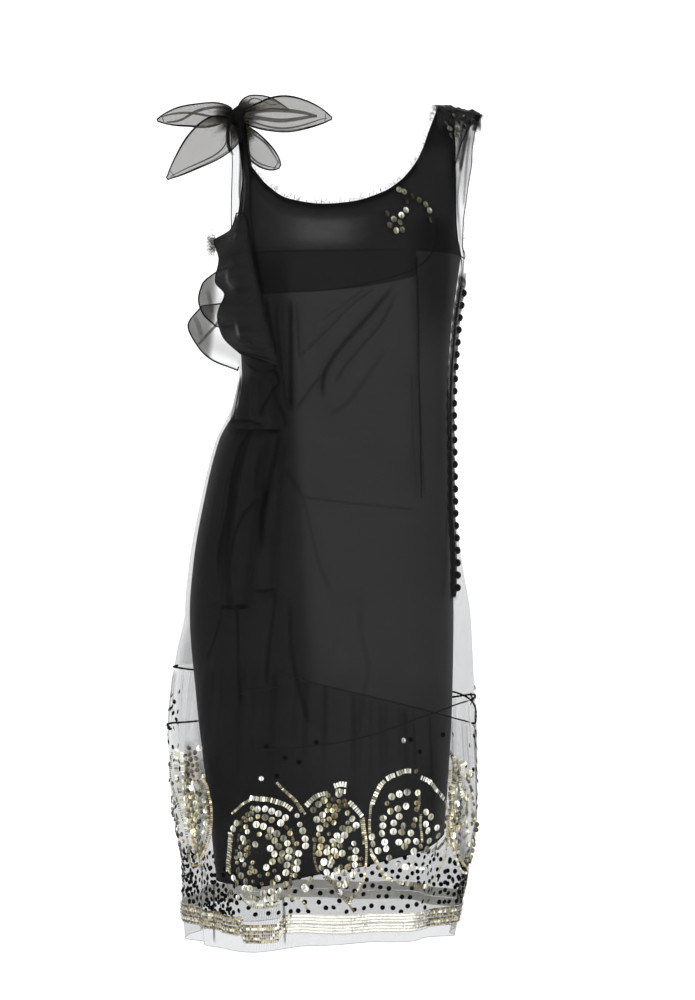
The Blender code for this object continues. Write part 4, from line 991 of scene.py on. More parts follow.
def yoke_grids(point, neckline, armholes, overhangs, left_table, strap_cells, back):
    """The yoke and its two straps, as grids of points that share their edges."""
    right_strap = strap_rows(RIGHT_STRAP, overhangs[0], strap_cells[0] * FINENESS)
    left_strap = strap_rows(left_table, overhangs[1], strap_cells[1] * FINENESS)
    neck = along_curve(neckline, NECKLINE_CELLS * FINENESS)
    top = right_strap[0][:-1] + neck + left_strap[0][1:]
    cells = len(top) - 1
    bottom = [(point(around, UNDERARM).x, UNDERARM) for around in evenly(cells, 0.0, 0.5)]
    right = armhole_edge(bottom[0], armholes, 0, top[0])
    left = armhole_edge(bottom[-1], armholes, 1, top[-1])
    right_strap[0][-1] = neck[0]
    left_strap[0][0] = neck[-1]
    grids = []
    for flat in (coons_patch(bottom, top, right, left), right_strap, left_strap):
        grids.append([[on_surface(point, x, height, back) for x, height in row] for row in flat])
    for grid in grids[1:]:
        for place in grid[-1]:
            place.y = SIDE_DEPTH
    start, end = (1.0, 0.5) if back else (0.0, 0.5)
    grids[0][0] = [point(around, UNDERARM) for around in evenly(cells, start, end)]
    if back:
        grids = [[row[::-1] for row in grid] for grid in grids]
    return grids


def panel(point, arounds, lower, upper, rows):
    """Rows of points between a lower and an upper edge. An edge is a height or a table."""
    def edge(value, around):
        return blend(value, around % 1.0 if around != 1.0 else 1.0)[0] if isinstance(value, tuple) else value

    grid = []
    for share in evenly(rows, 0.0, 1.0):
        grid.append([point(around, edge(lower, around) * (1 - share) + edge(upper, around) * share)
                     for around in arounds])
    return grid


# ---------------------------------------------------------------- materials

def node_material(name):
    material = bpy.data.materials.new(name)
    material.use_nodes = True
    tree = material.node_tree
    shader = tree.nodes["Principled BSDF"]
    return material, tree, shader


def add_node(tree, kind, **settings):
    node = tree.nodes.new(kind)
    for key, value in settings.items():
        setattr(node, key, value)
    return node


def cloth_coordinates(tree, scale):
    uv = add_node(tree, "ShaderNodeUVMap", uv_map="cloth")
    mapping = add_node(tree, "ShaderNodeMapping")
    mapping.inputs["Scale"].default_value = scale
    tree.links.new(uv.outputs["UV"], mapping.inputs["Vector"])
    return mapping.outputs["Vector"]


def map_range(tree, value, from_low, from_high, to_low, to_high):
    node = add_node(tree, "ShaderNodeMapRange")
    node.inputs["From Min"].default_value = from_low
    node.inputs["From Max"].default_value = from_high
    node.inputs["To Min"].default_value = to_low
    node.inputs["To Max"].default_value = to_high
    tree.links.new(value, node.inputs["Value"])
    return node.outputs["Result"]


def math_node(tree, operation, first, second):
    node = add_node(tree, "ShaderNodeMath", operation=operation)
    for socket, value in zip(node.inputs, (first, second)):
        if isinstance(value, (int, float)):
            socket.default_value = value
        else:
            tree.links.new(value, socket)
    return node.outputs["Value"]


def varied_colour(tree, colour, amount, scale):
    """A colour that drifts lighter and darker over the cloth."""
    noise = add_node(tree, "ShaderNodeTexNoise")
    noise.inputs["Scale"].default_value = scale
    noise.inputs["Detail"].default_value = 3.0
    coordinates = add_node(tree, "ShaderNodeTexCoord")
    tree.links.new(coordinates.outputs["Object"], noise.inputs["Vector"])
    ramp = add_node(tree, "ShaderNodeMix", data_type="RGBA")
    ramp.inputs["A"].default_value = (*(c * (1 - amount) for c in colour), 1.0)
    ramp.inputs["B"].default_value = (*(c * (1 + amount) for c in colour), 1.0)
    tree.links.new(noise.outputs["Fac"], ramp.inputs["Factor"])
    return ramp.outputs["Result"]


def weave_height(tree, pitch):
    """Two sets of fine bands that cross, as warp and weft do."""
    bands = []
    for direction in ("X", "Y"):
        wave = add_node(tree, "ShaderNodeTexWave", wave_type="BANDS", bands_direction=direction)
        wave.inputs["Scale"].default_value = 2 * math.pi / (20 * pitch)
        wave.inputs["Distortion"].default_value = 0.4
        wave.inputs["Detail Scale"].default_value = 2.0
        tree.links.new(cloth_coordinates(tree, (1.0, 1.0, 1.0)), wave.inputs["Vector"])
        bands.append(wave.outputs["Fac"])
    return math_node(tree, "ADD", *bands)


def add_bump(tree, shader, height, strength, distance):
    bump = add_node(tree, "ShaderNodeBump")
    bump.inputs["Strength"].default_value = strength
    bump.inputs["Distance"].default_value = distance
    tree.links.new(height, bump.inputs["Height"])
    tree.links.new(bump.outputs["Normal"], shader.inputs["Normal"])


def woven_material(name, colour, roughness, pitch, sheen, cover=None, variation=0.12):
    """Plain-woven cloth; cover is the share of light one layer stops, where the cloth is sheer."""
    material, tree, shader = node_material(name)
    tree.links.new(varied_colour(tree, colour, variation, 22.0), shader.inputs["Base Color"])
    weave = weave_height(tree, pitch)
    tree.links.new(map_range(tree, weave, 0.0, 2.0, roughness + 0.08, roughness - 0.05),
                   shader.inputs["Roughness"])
    shader.inputs["Sheen Weight"].default_value = sheen
    shader.inputs["Sheen Roughness"].default_value = 0.4
    shader.inputs["Specular IOR Level"].default_value = 0.05
    add_bump(tree, shader, weave, 0.35, pitch / 4)
    if cover is not None:
        one_layer = map_range(tree, weave, 0.0, 2.0, cover * 0.72, min(cover * 1.28, 0.98))
        tree.links.new(layered(tree, one_layer), shader.inputs["Alpha"])
    return material


def layered(tree, one_layer):
    """The cover of as many layers as the cloth has at a place."""
    count = add_node(tree, "ShaderNodeAttribute", attribute_name="layers")
    through = math_node(tree, "SUBTRACT", 1.0, one_layer)
    return math_node(tree, "SUBTRACT", 1.0, math_node(tree, "POWER", through, count.outputs["Fac"]))


# Cells of the net to a metre, and how fine the grain of sequins and of small things is.
NET_CELLS = 860.0
SEQUIN_GRAIN = 900.0
SMALL_GRAIN = 260.0


def net_material(name, colour, thread_cover, hole_cover):
    """Silk net: fine threads round small cells."""
    material, tree, shader = node_material(name)
    tree.links.new(varied_colour(tree, colour, 0.15, 30.0), shader.inputs["Base Color"])
    cells = add_node(tree, "ShaderNodeTexVoronoi", feature="DISTANCE_TO_EDGE", voronoi_dimensions="2D")
    cells.inputs["Scale"].default_value = 1.0
    cells.inputs["Randomness"].default_value = 0.35
    tree.links.new(cloth_coordinates(tree, (NET_CELLS, NET_CELLS, 1.0)), cells.inputs["Vector"])
    one_layer = map_range(tree, cells.outputs["Distance"], 0.02, 0.16, thread_cover, hole_cover)
    tree.links.new(layered(tree, one_layer), shader.inputs["Alpha"])
    shader.inputs["Roughness"].default_value = 0.8
    shader.inputs["Specular IOR Level"].default_value = 0.02
    return material


def metal_sequin_material(name, roughness):
    """Metallised film; each sequin carries its own tint, with painted highlight and painted shade mixed in.
    """
    material, tree, shader = node_material(name)
    tint = add_node(tree, "ShaderNodeAttribute", attribute_name="tint")
    noise = add_node(tree, "ShaderNodeTexNoise")
    noise.inputs["Scale"].default_value = SEQUIN_GRAIN
    coordinates = add_node(tree, "ShaderNodeTexCoord")
    tree.links.new(coordinates.outputs["Object"], noise.inputs["Vector"])
    tree.links.new(tint.outputs["Color"], shader.inputs["Base Color"])
    shader.inputs["Metallic"].default_value = 0.80
    tree.links.new(map_range(tree, noise.outputs["Fac"], 0.3, 0.7, roughness - 0.06, roughness + 0.12),
                   shader.inputs["Roughness"])
    return material


def plain_material(name, colour, roughness, specular=0.4, variation=0.25):
    """Small glossy or matt things: threads, rolled edges, black paillettes."""
    material, tree, shader = node_material(name)
    tree.links.new(varied_colour(tree, colour, variation, SMALL_GRAIN), shader.inputs["Base Color"])
    shader.inputs["Roughness"].default_value = roughness
    shader.inputs["Specular IOR Level"].default_value = specular
    return material


SILK = woven_material("slip_silk_look", (0.034, 0.034, 0.0345), 0.50, 0.0004, 0.0, variation=0.10)
BAND_SILK = woven_material("band_silk_look", (0.0150, 0.0150, 0.0155), 0.70, 0.0004, 0.0)
CHIFFON = woven_material("yoke_chiffon_look", (0.0170, 0.0165, 0.0160), 0.70, 0.0005, 0.0, cover=0.76)
NET = net_material("net_look", (0.0040, 0.0039, 0.0043), 0.52, 0.11)
# Dark net for creases, gathers and the knot's ends: partly net lying over itself, partly painted shade.
FOLD_NET = woven_material("fold_net_look", (0.0022, 0.0022, 0.0024), 0.80, 0.0007, 0.0, cover=0.30)
ORGANZA = woven_material("organza_look", (0.066, 0.058, 0.042), 0.48, 0.0005, 0.10, cover=0.42)
FLOUNCE_ORGANZA = woven_material("flounce_organza_look", (0.040, 0.037, 0.031), 0.55, 0.0005, 0.06,
                                 cover=0.48)
FRILL_NET = woven_material("frill_net_look", (0.0110, 0.0110, 0.0115), 0.75, 0.0007, 0.0, cover=0.42)
KNOT_ORGANZA = woven_material("knot_organza_look", (0.0040, 0.0040, 0.0040), 0.70, 0.0005, 0.0)
BUTTON_SILK = woven_material("button_silk_look", (0.0045, 0.0045, 0.0045), 0.50, 0.0005, 0.0)
SEQUIN = metal_sequin_material("sequin_look", 0.30)
PAILLETTE = plain_material("paillette_look", (0.0022, 0.0022, 0.0022), 0.60, specular=0.03)
THREAD = plain_material("thread_look", (0.0028, 0.0028, 0.0026), 0.80, specular=0.03)
OLIVE_THREAD = plain_material("olive_thread_look", (0.022, 0.020, 0.012), 0.75, specular=0.05)
SEAM_THREAD = plain_material("seam_thread_look", (0.0110, 0.0110, 0.0110), 0.80, specular=0.03)
FRAY_THREAD = plain_material("fray_thread_look", (0.11, 0.095, 0.075), 0.75, specular=0.05)
TAPE_BASE = woven_material("tape_base_look", (0.93, 0.91, 0.84), 0.60, 0.0006, 0.0, cover=0.45)


# ---------------------------------------------------------------- building


def finish_piece(name, shape, material, nodes=(), smooth=True):
    """Turns a bmesh into a piece that rides on the dress."""
    mesh = bpy.data.meshes.new(name)
    shape.to_mesh(mesh)
    shape.free()
    materials = material if isinstance(material, (list, tuple)) else [material]
    for one in materials:
        mesh.materials.append(one)
    if smooth:
        mesh.shade_smooth()
    thing = bpy.data.objects.new(name, mesh)
    bpy.context.scene.collection.objects.link(thing)
    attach(thing, "root")
    if nodes:
        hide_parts(*nodes)
    return thing


def body_uv(place):
    """Cloth coordinates in metres round the body and up it."""
    around = math.atan2(place.y - SIDE_DEPTH, place.x) / (2 * math.pi)
    return around * 0.95, place.z


def add_sheet(name, grids, material, nodes=(), layers=None, uv=body_uv, merge=0.00002):
    """A sheet of cloth through grids of points, with its cloth coordinates and its layers."""
    shape = bmesh.new()
    for grid in grids:
        rows = [[shape.verts.new(place) for place in row] for row in grid]
        for lower, upper in zip(rows, rows[1:]):
            for index in range(len(lower) - 1):
                corners = (lower[index], lower[index + 1], upper[index + 1], upper[index])
                shape.faces.new(corners)
    bmesh.ops.remove_doubles(shape, verts=shape.verts, dist=merge)
    cloth = shape.loops.layers.uv.new("cloth")
    count = shape.verts.layers.float.new("layers")
    for vertex in shape.verts:
        vertex[count] = layers(vertex.co) if layers else 1.0
    for face in shape.faces:
        for loop in face.loops:
            loop[cloth].uv = uv(loop.vert.co)
    return finish_piece(name, shape, material, nodes)


def add_tube(shape, path, radius, sides=6):
    """A round thread along a path, closed at its ends; radius may be a function of the share."""
    rings = []
    count = len(path) - 1
    normal = None
    for index, place in enumerate(path):
        ahead = path[min(index + 1, count)] - path[max(index - 1, 0)]
        if ahead.length < 1e-9:
            ahead = Vector((0, 0, 1))
        ahead = ahead.normalized()
        if normal is None:
            normal = ahead.orthogonal().normalized()
        normal = (normal - ahead * normal.dot(ahead)).normalized()
        side = ahead.cross(normal)
        size = radius(index / count) if callable(radius) else radius
        ring = []
        for step in range(sides):
            angle = 2 * math.pi * step / sides
            ring.append(shape.verts.new(place + (normal * math.cos(angle) + side * math.sin(angle)) * size))
        rings.append(ring)
    for before, after in zip(rings, rings[1:]):
        for step in range(sides):
            following = (step + 1) % sides
            shape.faces.new((before[step], before[following], after[following], after[step]))
    shape.faces.new(rings[0][::-1])
    shape.faces.new(rings[-1])


def curve_points(points, steps):
    """Points on a smooth curve through a few given ones."""
    points = [Vector(point) for point in points]
    if len(points) == 2:
        return [points[0].lerp(points[1], share) for share in evenly(steps, 0.0, 1.0)]
    path = []
    for index in range(len(points) - 1):
        p0 = points[max(index - 1, 0)]
        p1 = points[index]
        p2 = points[index + 1]
        p3 = points[min(index + 2, len(points) - 1)]
        for t in evenly(steps, 0.0, 1.0)[:-1]:
            path.append(0.5 * (2 * p1 + (p2 - p0) * t + (2 * p0 - 5 * p1 + 4 * p2 - p3) * t**2
                               + (3 * p1 - p0 - 3 * p2 + p3) * t**3))
    path.append(points[-1])
    return path


# ---------------------------------------------------------------- slip

SLIP_COLUMNS = 19 * FINENESS
# To the left of this line the band is cut in one with the side panel.
SIDE_PANEL_FROM = 0.0835
NET_COLUMNS = 20 * FINENESS


def front_arounds(cells):
    return evenly(cells, 0.0, 0.5)


def back_arounds(cells):
    return evenly(cells, 0.5, 1.0)


def yoke_layers(place):
    """The yoke is one layer in its middle, and doubled by facings towards the armholes."""
    right = smooth_step((-0.040 - place.x) / 0.070)
    left = smooth_step((place.x + 0.010) / 0.080)
    top = smooth_step((place.z + 0.095) / 0.03)
    facing_in = 0.0
    if place.y < SIDE_DEPTH and FRONT_NECKLINE[0][0] < place.x < FRONT_NECKLINE[-1][0]:
        facing_in = smooth_step(1 - (blend(FRONT_NECKLINE, place.x)[0] - place.z) / 0.024)
    low = smooth_step((-0.160 - place.z) / 0.020)
    return 1.0 + 1.1 * right + 2.0 * left + 2.5 * top + 3.5 * facing_in + 1.2 * low


def raised(neckline):
    """The slip's neckline, as high as the net's over it."""
    return tuple((x, height + blend(NET_EASE, height)[-1]) for x, height in neckline)


def make_slip():
    body = panel(slip_point, front_arounds(SLIP_COLUMNS), SLIP_HEM, BAND_SEAM, 170)
    add_sheet("slip_front", [body], SILK, ["slip_front_body"])
    band = panel(slip_point, front_arounds(SLIP_COLUMNS), BAND_SEAM, UNDERARM, 16)
    band_piece = add_sheet("slip_band", [band], [BAND_SILK, SILK], ["slip_front_band"])
    for face in band_piece.data.polygons:
        face.material_index = int(face.center.x > SIDE_PANEL_FROM)
    body = panel(slip_point, back_arounds(SLIP_COLUMNS), SLIP_HEM, UNDERARM, 170)
    add_sheet("slip_back", [body], SILK, ["slip_back_body"])
    front_yoke = yoke_grids(slip_point, raised(FRONT_NECKLINE), SLIP_ARMHOLES, (0.0, 0.0), SLIP_LEFT_STRAP,
                            (2, 4), False)
    back_yoke = yoke_grids(slip_point, raised(BACK_NECKLINE), SLIP_ARMHOLES, (0.0, 0.0), SLIP_LEFT_STRAP,
                           (2, 4), True)
    add_sheet("yoke_front", front_yoke, CHIFFON, ["slip_front_yoke"], yoke_layers)
    add_sheet("yoke_back", back_yoke, CHIFFON, ["slip_back_yoke"], yoke_layers)
    return front_yoke, back_yoke


# ---------------------------------------------------------------- net

def neckline_layers(place):
    """The net is turned under along the front neckline."""
    if not FRONT_NECKLINE[0][0] < place.x < FRONT_NECKLINE[-1][0]:
        return 0.0
    below = blend(FRONT_NECKLINE, place.x)[0] - place.z
    return 9.0 * smooth_step(1 - below / 0.008)


def net_layers(place):
    """One layer, and more at the shoulders and the right front, where the drape is folded in."""
    layers = 1.0 + smooth_step((place.z + 0.060) / 0.02) * 2.0
    if place.y < SIDE_DEPTH:
        lean = (place.z + 0.45) * 0.06
        drape_side = smooth_step((-0.046 - place.x - lean) / 0.016)
        layers += 2.0 * drape_side * smooth_step((-0.16 - place.z) / 0.06) * front_weight(place)
        layers += neckline_layers(place)
        layers += 2.0 * smooth_step((place.x - 0.120) / 0.012) * smooth_step((place.z + 0.13) / 0.05)
        layers += (2.2 * smooth_step((place.x - 0.070) / 0.03) * smooth_step((place.z + 0.31) / 0.10)
                   * smooth_step((-0.132 - place.z) / 0.02) * smooth_step((0.128 - place.x) / 0.01))
    return layers


def front_weight(place):
    """1 on the front of the body, none near the side folds that are seen against the light."""
    return smooth_step((-0.030 - place.y) / 0.035)


def tier_layers(place):
    """The tier is gathered in at the front, where more of the net lies over itself."""
    around = (math.atan2(place.y - SIDE_DEPTH, place.x) / (2 * math.pi) + 0.5) % 1.0
    gathers = 3.2 * max(gather_wave(around), 0.0) * gather_fade(around, place.z)
    layers = 1.0 + gathers * (0.2 if place.y > SIDE_DEPTH else 0.08 + 0.92 * front_weight(place))
    if place.y < SIDE_DEPTH:
        right = smooth_step((-0.010 - place.x) / 0.080)
        layers += (0.6 + 1.5 * right) * front_weight(place) * smooth_step((place.z + 0.86) / 0.05)
    outer = smooth_step((-0.165 - place.x) / 0.015) * smooth_step((place.z + 0.80) / 0.03)
    hem = smooth_step((-0.860 - place.z) / 0.02) * (1 - smooth_step((place.y + 0.02) / 0.04))
    return layers * (1 - 0.45 * outer) * (1 + 0.9 * hem) * (1 - 0.35 * smooth_step((-0.955 - place.z) / 0.01))


def make_net():
    grids = {}
    for side, neckline, armholes, overhangs in (
            ("front", FRONT_NECKLINE, NET_FRONT_ARMHOLES, NET_FRONT_OVERHANGS),
            ("back", BACK_NECKLINE, NET_BACK_ARMHOLES, NET_BACK_OVERHANGS)):
        back = side == "back"
        yoke = yoke_grids(net_point, neckline, armholes, overhangs, LEFT_STRAP, (2, 5), back)
        arounds = back_arounds(NET_COLUMNS) if back else front_arounds(NET_COLUMNS)
        body = panel(net_point, arounds, TIER_SEAM, UNDERARM, 130)
        add_sheet(f"net_upper_{side}", [body, *yoke], NET, [f"net_{side}_upper"], net_layers)
        arounds = back_arounds(3 * NET_COLUMNS) if back else front_arounds(3 * NET_COLUMNS)
        tier = panel(net_point, arounds, NET_HEM, TIER_SEAM, 90)
        add_sheet(f"net_tier_{side}", [tier], NET, [f"net_{side}_lower"], tier_layers)
        grids[side] = yoke
    return grids


def cascade_lift(place):
    """How far the drape and its tails stand off the net at a place."""
    lift = 0.0
    if DRAPE[-1][0] < place.z < DRAPE[0][0]:
        right, left, stand_off = blend(DRAPE, place.z)
        share = (place.x - right) / (left - right)
        if 0.0 < share < 1.0:
            lift = DRAPE_EDGE_LIFT + CLOTH_WALL + stand_off * math.sin(math.pi * share) ** 0.6
    for rows in TAILS:
        if rows[-1][0] < place.z < rows[0][0]:
            right, left, stand_off = blend(rows, place.z)
            share = (place.x - right) / (left - right)
            if 0.0 < share < 1.0:
                lift = max(lift, CLOTH_WALL + (stand_off + 0.0016) * math.sin(math.pi * share))
    return lift


def make_net_folds():
    """Narrow folds of net lying over itself, full in the middle and thinned away at their edges; their
    darkness is partly the net lying double and partly painted shade in the creases.
    """
    grids = []
    layers = {}
    for half_width, most, places in NET_FOLD_LINES:
        path = [seen_place(net_point, x, height)
                for x, height, _ in curve_points([(x, height, 0.0) for x, height in places], 12)]
        last = len(path) - 1
        grid = []
        for index, (place, out) in enumerate(path):
            ahead = path[min(index + 1, last)][0] - path[max(index - 1, 0)][0]
            across = out.cross(ahead).normalized()
            share = index / last
            ends = smooth_step(share / 0.15) * smooth_step((1 - share) / 0.15)
            lift = 0.0006 + cascade_lift(place)
            row = []
            for side in evenly(8, -1.0, 1.0):
                dome = (1 - side**2) ** 1.5
                spot = place + across * half_width * side + out * (lift + 0.0007 * dome)
                layers[tuple(spot)] = most * dome * ends
                row.append(spot)
            grid.append(row)
        grids.append(grid)
    add_sheet("net_folds", grids, FOLD_NET, layers=layers_from(layers),
              merge=0.0000001)


# ---------------------------------------------------------------- stage

FOCAL_SHARE = 2.688
SENSOR = 36.0
FLOOR = -1.42


def make_stage():
    scene = bpy.context.scene
    camera = bpy.data.objects.new("camera", bpy.data.cameras.new("camera"))
    camera.data.sensor_fit = "VERTICAL"
    camera.data.sensor_height = SENSOR
    camera.data.lens = SENSOR * FOCAL_SHARE
    camera.location = (CAMERA_X, -CAMERA_DISTANCE, CAMERA_HEIGHT)
    camera.rotation_euler = (math.radians(90), 0.0, 0.0)
    scene.collection.objects.link(camera)
    scene.camera = camera

    shape = bmesh.new()
    rows = []
    depth, bend, height = 4.2, 0.8, 5.5
    profile = [(-6.0, FLOOR)]
    for angle in evenly(16, 0.0, math.pi / 2):
        profile.append((depth + bend * math.sin(angle), FLOOR + bend * (1 - math.cos(angle))))
    profile.append((depth + bend, height))
    for y, z in profile:
        rows.append([shape.verts.new((x, y, z)) for x in (-6.0, 6.0)])
    for lower, upper in zip(rows, rows[1:]):
        shape.faces.new((lower[0], lower[1], upper[1], upper[0]))
    mesh = bpy.data.meshes.new("backdrop")
    shape.to_mesh(mesh)
    shape.free()
    mesh.shade_smooth()
    material, tree, shader = node_material("backdrop_look")
    tree.links.new(varied_colour(tree, (0.90, 0.90, 0.90), 0.01, 2.0), shader.inputs["Base Color"])
    shader.inputs["Roughness"].default_value = 0.9
    shader.inputs["Emission Color"].default_value = (1.0, 1.0, 1.0, 1.0)
    shader.inputs["Emission Strength"].default_value = 0.45
    mesh.materials.append(material)
    backdrop = bpy.data.objects.new("backdrop", mesh)
    scene.collection.objects.link(backdrop)

    for name, place, aim, size, power in (
            ("key", (-1.9, -3.2, 0.7), (0.0, 0.0, -0.55), (1.8, 2.6), 95.0),
            ("fill", (2.6, -2.4, -0.2), (0.0, 0.0, -0.6), (1.6, 2.4), 55.0),
            ("top", (0.0, -0.4, 2.4), (0.0, 0.0, -0.3), (2.0, 1.6), 25.0)):
        light = bpy.data.objects.new(name, bpy.data.lights.new(name, "AREA"))
        light.data.shape = "RECTANGLE"
        light.data.size, light.data.size_y = size
        light.data.energy = power
        light.location = place
        direction = Vector(aim) - Vector(place)
        light.rotation_euler = direction.to_track_quat("-Z", "Y").to_euler()
        scene.collection.objects.link(light)

    world = bpy.data.worlds.new("studio")
    world.use_nodes = True
    world.node_tree.nodes["Background"].inputs["Color"].default_value = (0.92, 0.95, 1.0, 1.0)
    world.node_tree.nodes["Background"].inputs["Strength"].default_value = 0.35
    scene.world = world
    scene.view_settings.view_transform = "Standard"


# ---------------------------------------------------------------- seams, bindings and cords

def neckline_path(grids, back):
    """The neck edge of a yoke: down the right strap's inner side, round, and up the left one's."""
    patch, right_strap, left_strap = grids
    inner_right = [row[0 if back else -1] for row in right_strap]
    inner_left = [row[-1 if back else 0] for row in left_strap]
    top = patch[-1][::-1] if back else patch[-1]
    right_cells = (len(right_strap[0]) - 1)
    left_cells = (len(left_strap[0]) - 1)
    middle = top[right_cells:len(top) - left_cells]
    return inner_right[::-1] + middle[1:-1] + inner_left


def armhole_paths(grids, back):
    """The armhole edges of a yoke, each from the underarm to the ridge of the shoulder."""
    patch, right_strap, left_strap = grids
    right = [row[-1 if back else 0] for row in patch] + [row[-1 if back else 0] for row in right_strap[1:]]
    left = [row[0 if back else -1] for row in patch] + [row[0 if back else -1] for row in left_strap[1:]]
    return right, left


def front_path(point, places, steps, lift):
    """A path on the front of a surface through places given as x and height."""
    path = []
    for x, _, height in curve_points([(x, 0.0, z) for x, z in places], steps):
        place = on_surface(point, x, height)
        out = facing(point, around_at(point, x, height), height)[1]
        path.append(place + out * lift)
    return path


def round_path(point, table, count, lift):
    """A closed path round a surface at the heights of a table."""
    path = []
    for around in evenly(count, 0.0, 1.0):
        height = blend(table, around)[0]
        centre, out, _ = facing(point, around, height)
        path.append(centre + out * lift)
    return path


def make_bindings(slip_yokes, net_yokes):
    shape = bmesh.new()
    olive = bmesh.new()
    seams = bmesh.new()
    for grids, back in zip(slip_yokes, (False, True)):
        add_tube(olive, neckline_path(grids, back), 0.0008)
        for path in armhole_paths(grids, back):
            add_tube(shape, path, 0.0007)
    for side, back in (("front", False), ("back", True)):
        add_tube(shape, neckline_path(net_yokes[side], back), 0.0005)
        for path in armhole_paths(net_yokes[side], back):
            add_tube(shape, path, 0.0006)
    add_tube(shape, round_path(slip_point, SLIP_HEM, 240, 0.0002), 0.0006)
    def puckered(share):
        return 0.00115 + 0.00035 * math.sin(520 * share) * math.sin(67 * share + 1.0)

    def faint(share):
        return 0.0009 * smooth_step(min(share, 1 - share) / 0.08)

    for table, first, last in ((TIER_SEAM, 0.196, 0.452), (TUCK_LINE, 0.180, 0.452)):
        cord = round_path(net_point, table, 960, 0.0006)
        start, end = round(first * 960), round(last * 960)
        add_tube(shape, cord[end:] + cord[1:round(0.045 * 960)], puckered)
        add_tube(seams, cord[start:end + 1], faint)
    short_seam = ((-0.1225, -0.6890), (-0.1000, -0.6840), (-0.0780, -0.6800))
    add_tube(seams, front_path(net_point, short_seam, 16, 0.0006), 0.0009)
    for places, radius in (
            (((0.0820, -0.1850), (0.0850, -0.2500), (0.0865, -0.3430), (0.0890, -0.4640)), 0.0004),
            (((-0.0945, -0.2270), (-0.0170, -0.2250), (0.0460, -0.2120), (0.0850, -0.1960),
              (0.1040, -0.1730), (0.1080, -0.1370)), 0.0005)):
        add_tube(seams, front_path(slip_point, places, 24, 0.0002), radius)
    finish_piece("bindings", shape, THREAD)
    finish_piece("neck_binding", olive, OLIVE_THREAD)
    finish_piece("slip_seams", seams, SEAM_THREAD)
    net_edge = bmesh.new()
    add_tube(net_edge, round_path(net_point, NET_HEM, 480, 0.0), 0.00022, 5)
    finish_piece("net_raw_edge", net_edge, THREAD)


# ---------------------------------------------------------------- bow

def petal_place(petal, share, side, ripple=1.0):
    """A place on a petal: a leaf on a curve from its root to its tip, cupped and softly rippled."""
    root, bend, tip, half_width, across, cup, widest, rounder = petal
    root, bend, tip, across = (Vector(value) for value in (root, bend, tip, across))
    across = across.normalized()
    control = 2 * bend - (root + tip) / 2
    centre = (1 - share)**2 * root + 2 * share * (1 - share) * control + share**2 * tip
    direction = ((control - root) * (1 - share) + (tip - control) * share).normalized()
    sideways = (across - direction * across.dot(direction)).normalized()
    rise = direction.cross(sideways)
    way = PETAL_ROOT_SHARE + (1 - PETAL_ROOT_SHARE) * share ** widest
    swell = max(math.sin(math.pi * way), PETAL_TIP_WIDTH) ** rounder
    wave = 0.0013 * math.sin(9.0 * share + 2.5 * side + half_width * 900) * side**2 * ripple
    curl = 0.0035 * smooth_step((share - 0.72) / 0.28) * side
    lift = cup * swell * (1 - side**2) + (wave + curl) * math.sin(math.pi * min(share * 1.2, 1.0))
    return centre + sideways * side * half_width * swell + rise * lift, rise


def petal_edge(petal, inset=0.0):
    reach = 1.0 - inset
    path = [petal_place(petal, share, -reach)[0] for share in evenly(40, 0.0, reach)]
    path += [petal_place(petal, share, reach)[0] for share in evenly(40, reach, 0.0)]
    return path


def make_bow():
    edges = bmesh.new()
    for index, petal in enumerate(PETALS):
        number = index + 1
        name = f"petal_{number}"
        rows, columns = 44, 18
        grid = [[petal_place(petal, share, side)[0] for side in evenly(columns, -1.0, 1.0)]
                for share in evenly(rows, 0.0, 1.0)]
        back = [[place - petal_place(petal, share, side)[1] * 0.0012 * (1 - side**2)
                 for side, place in zip(evenly(columns, -1.0, 1.0), row)]
                for share, row in zip(evenly(rows, 0.0, 1.0), grid)]
        root = Vector(petal[0])

        def layers(place, root=root):
            return 1.0 + 4.0 * smooth_step(1 - (place - root).length / 0.022)

        add_sheet(name, [grid, back], ORGANZA, [f"bow_petal_{number}"], layers,
                  uv=leaf_uv(root), merge=0.000001)
        add_tube(edges, petal_edge(petal), 0.00085)
        add_tube(edges, petal_edge(petal, 0.07), 0.0004, 5)
    finish_piece("petal_edges", edges, THREAD)
    make_petal_gathers()
    # Strips of extra layers along the petal folds: partly cloth lying double, partly painted shade.
    folds = []
    for number, half_width, places in PETAL_FOLDS:
        petal = PETALS[number - 1]
        grid = []
        for share, side, _ in curve_points([(a, b, 0.0) for a, b in places], 10):
            place, rise = petal_place(petal, share, side)
            ahead = petal_place(petal, min(share + 0.02, 1.0), side)[0] - petal_place(petal, share, side)[0]
            across = rise.cross(ahead).normalized()
            width = half_width * (0.45 + 0.55 * math.sin(math.pi * min(share * 1.1, 1.0)))
            grid.append([place + across * width * part + rise * (0.0011 - 0.0007 * part**2)
                         for part in evenly(4, -1.0, 1.0)])
        folds.append(grid)
    add_sheet("petal_folds", folds, FLOUNCE_ORGANZA, layers=lambda place: 3.0,
              uv=leaf_uv(Vector(KNOT_CENTRE)))
    make_knot()


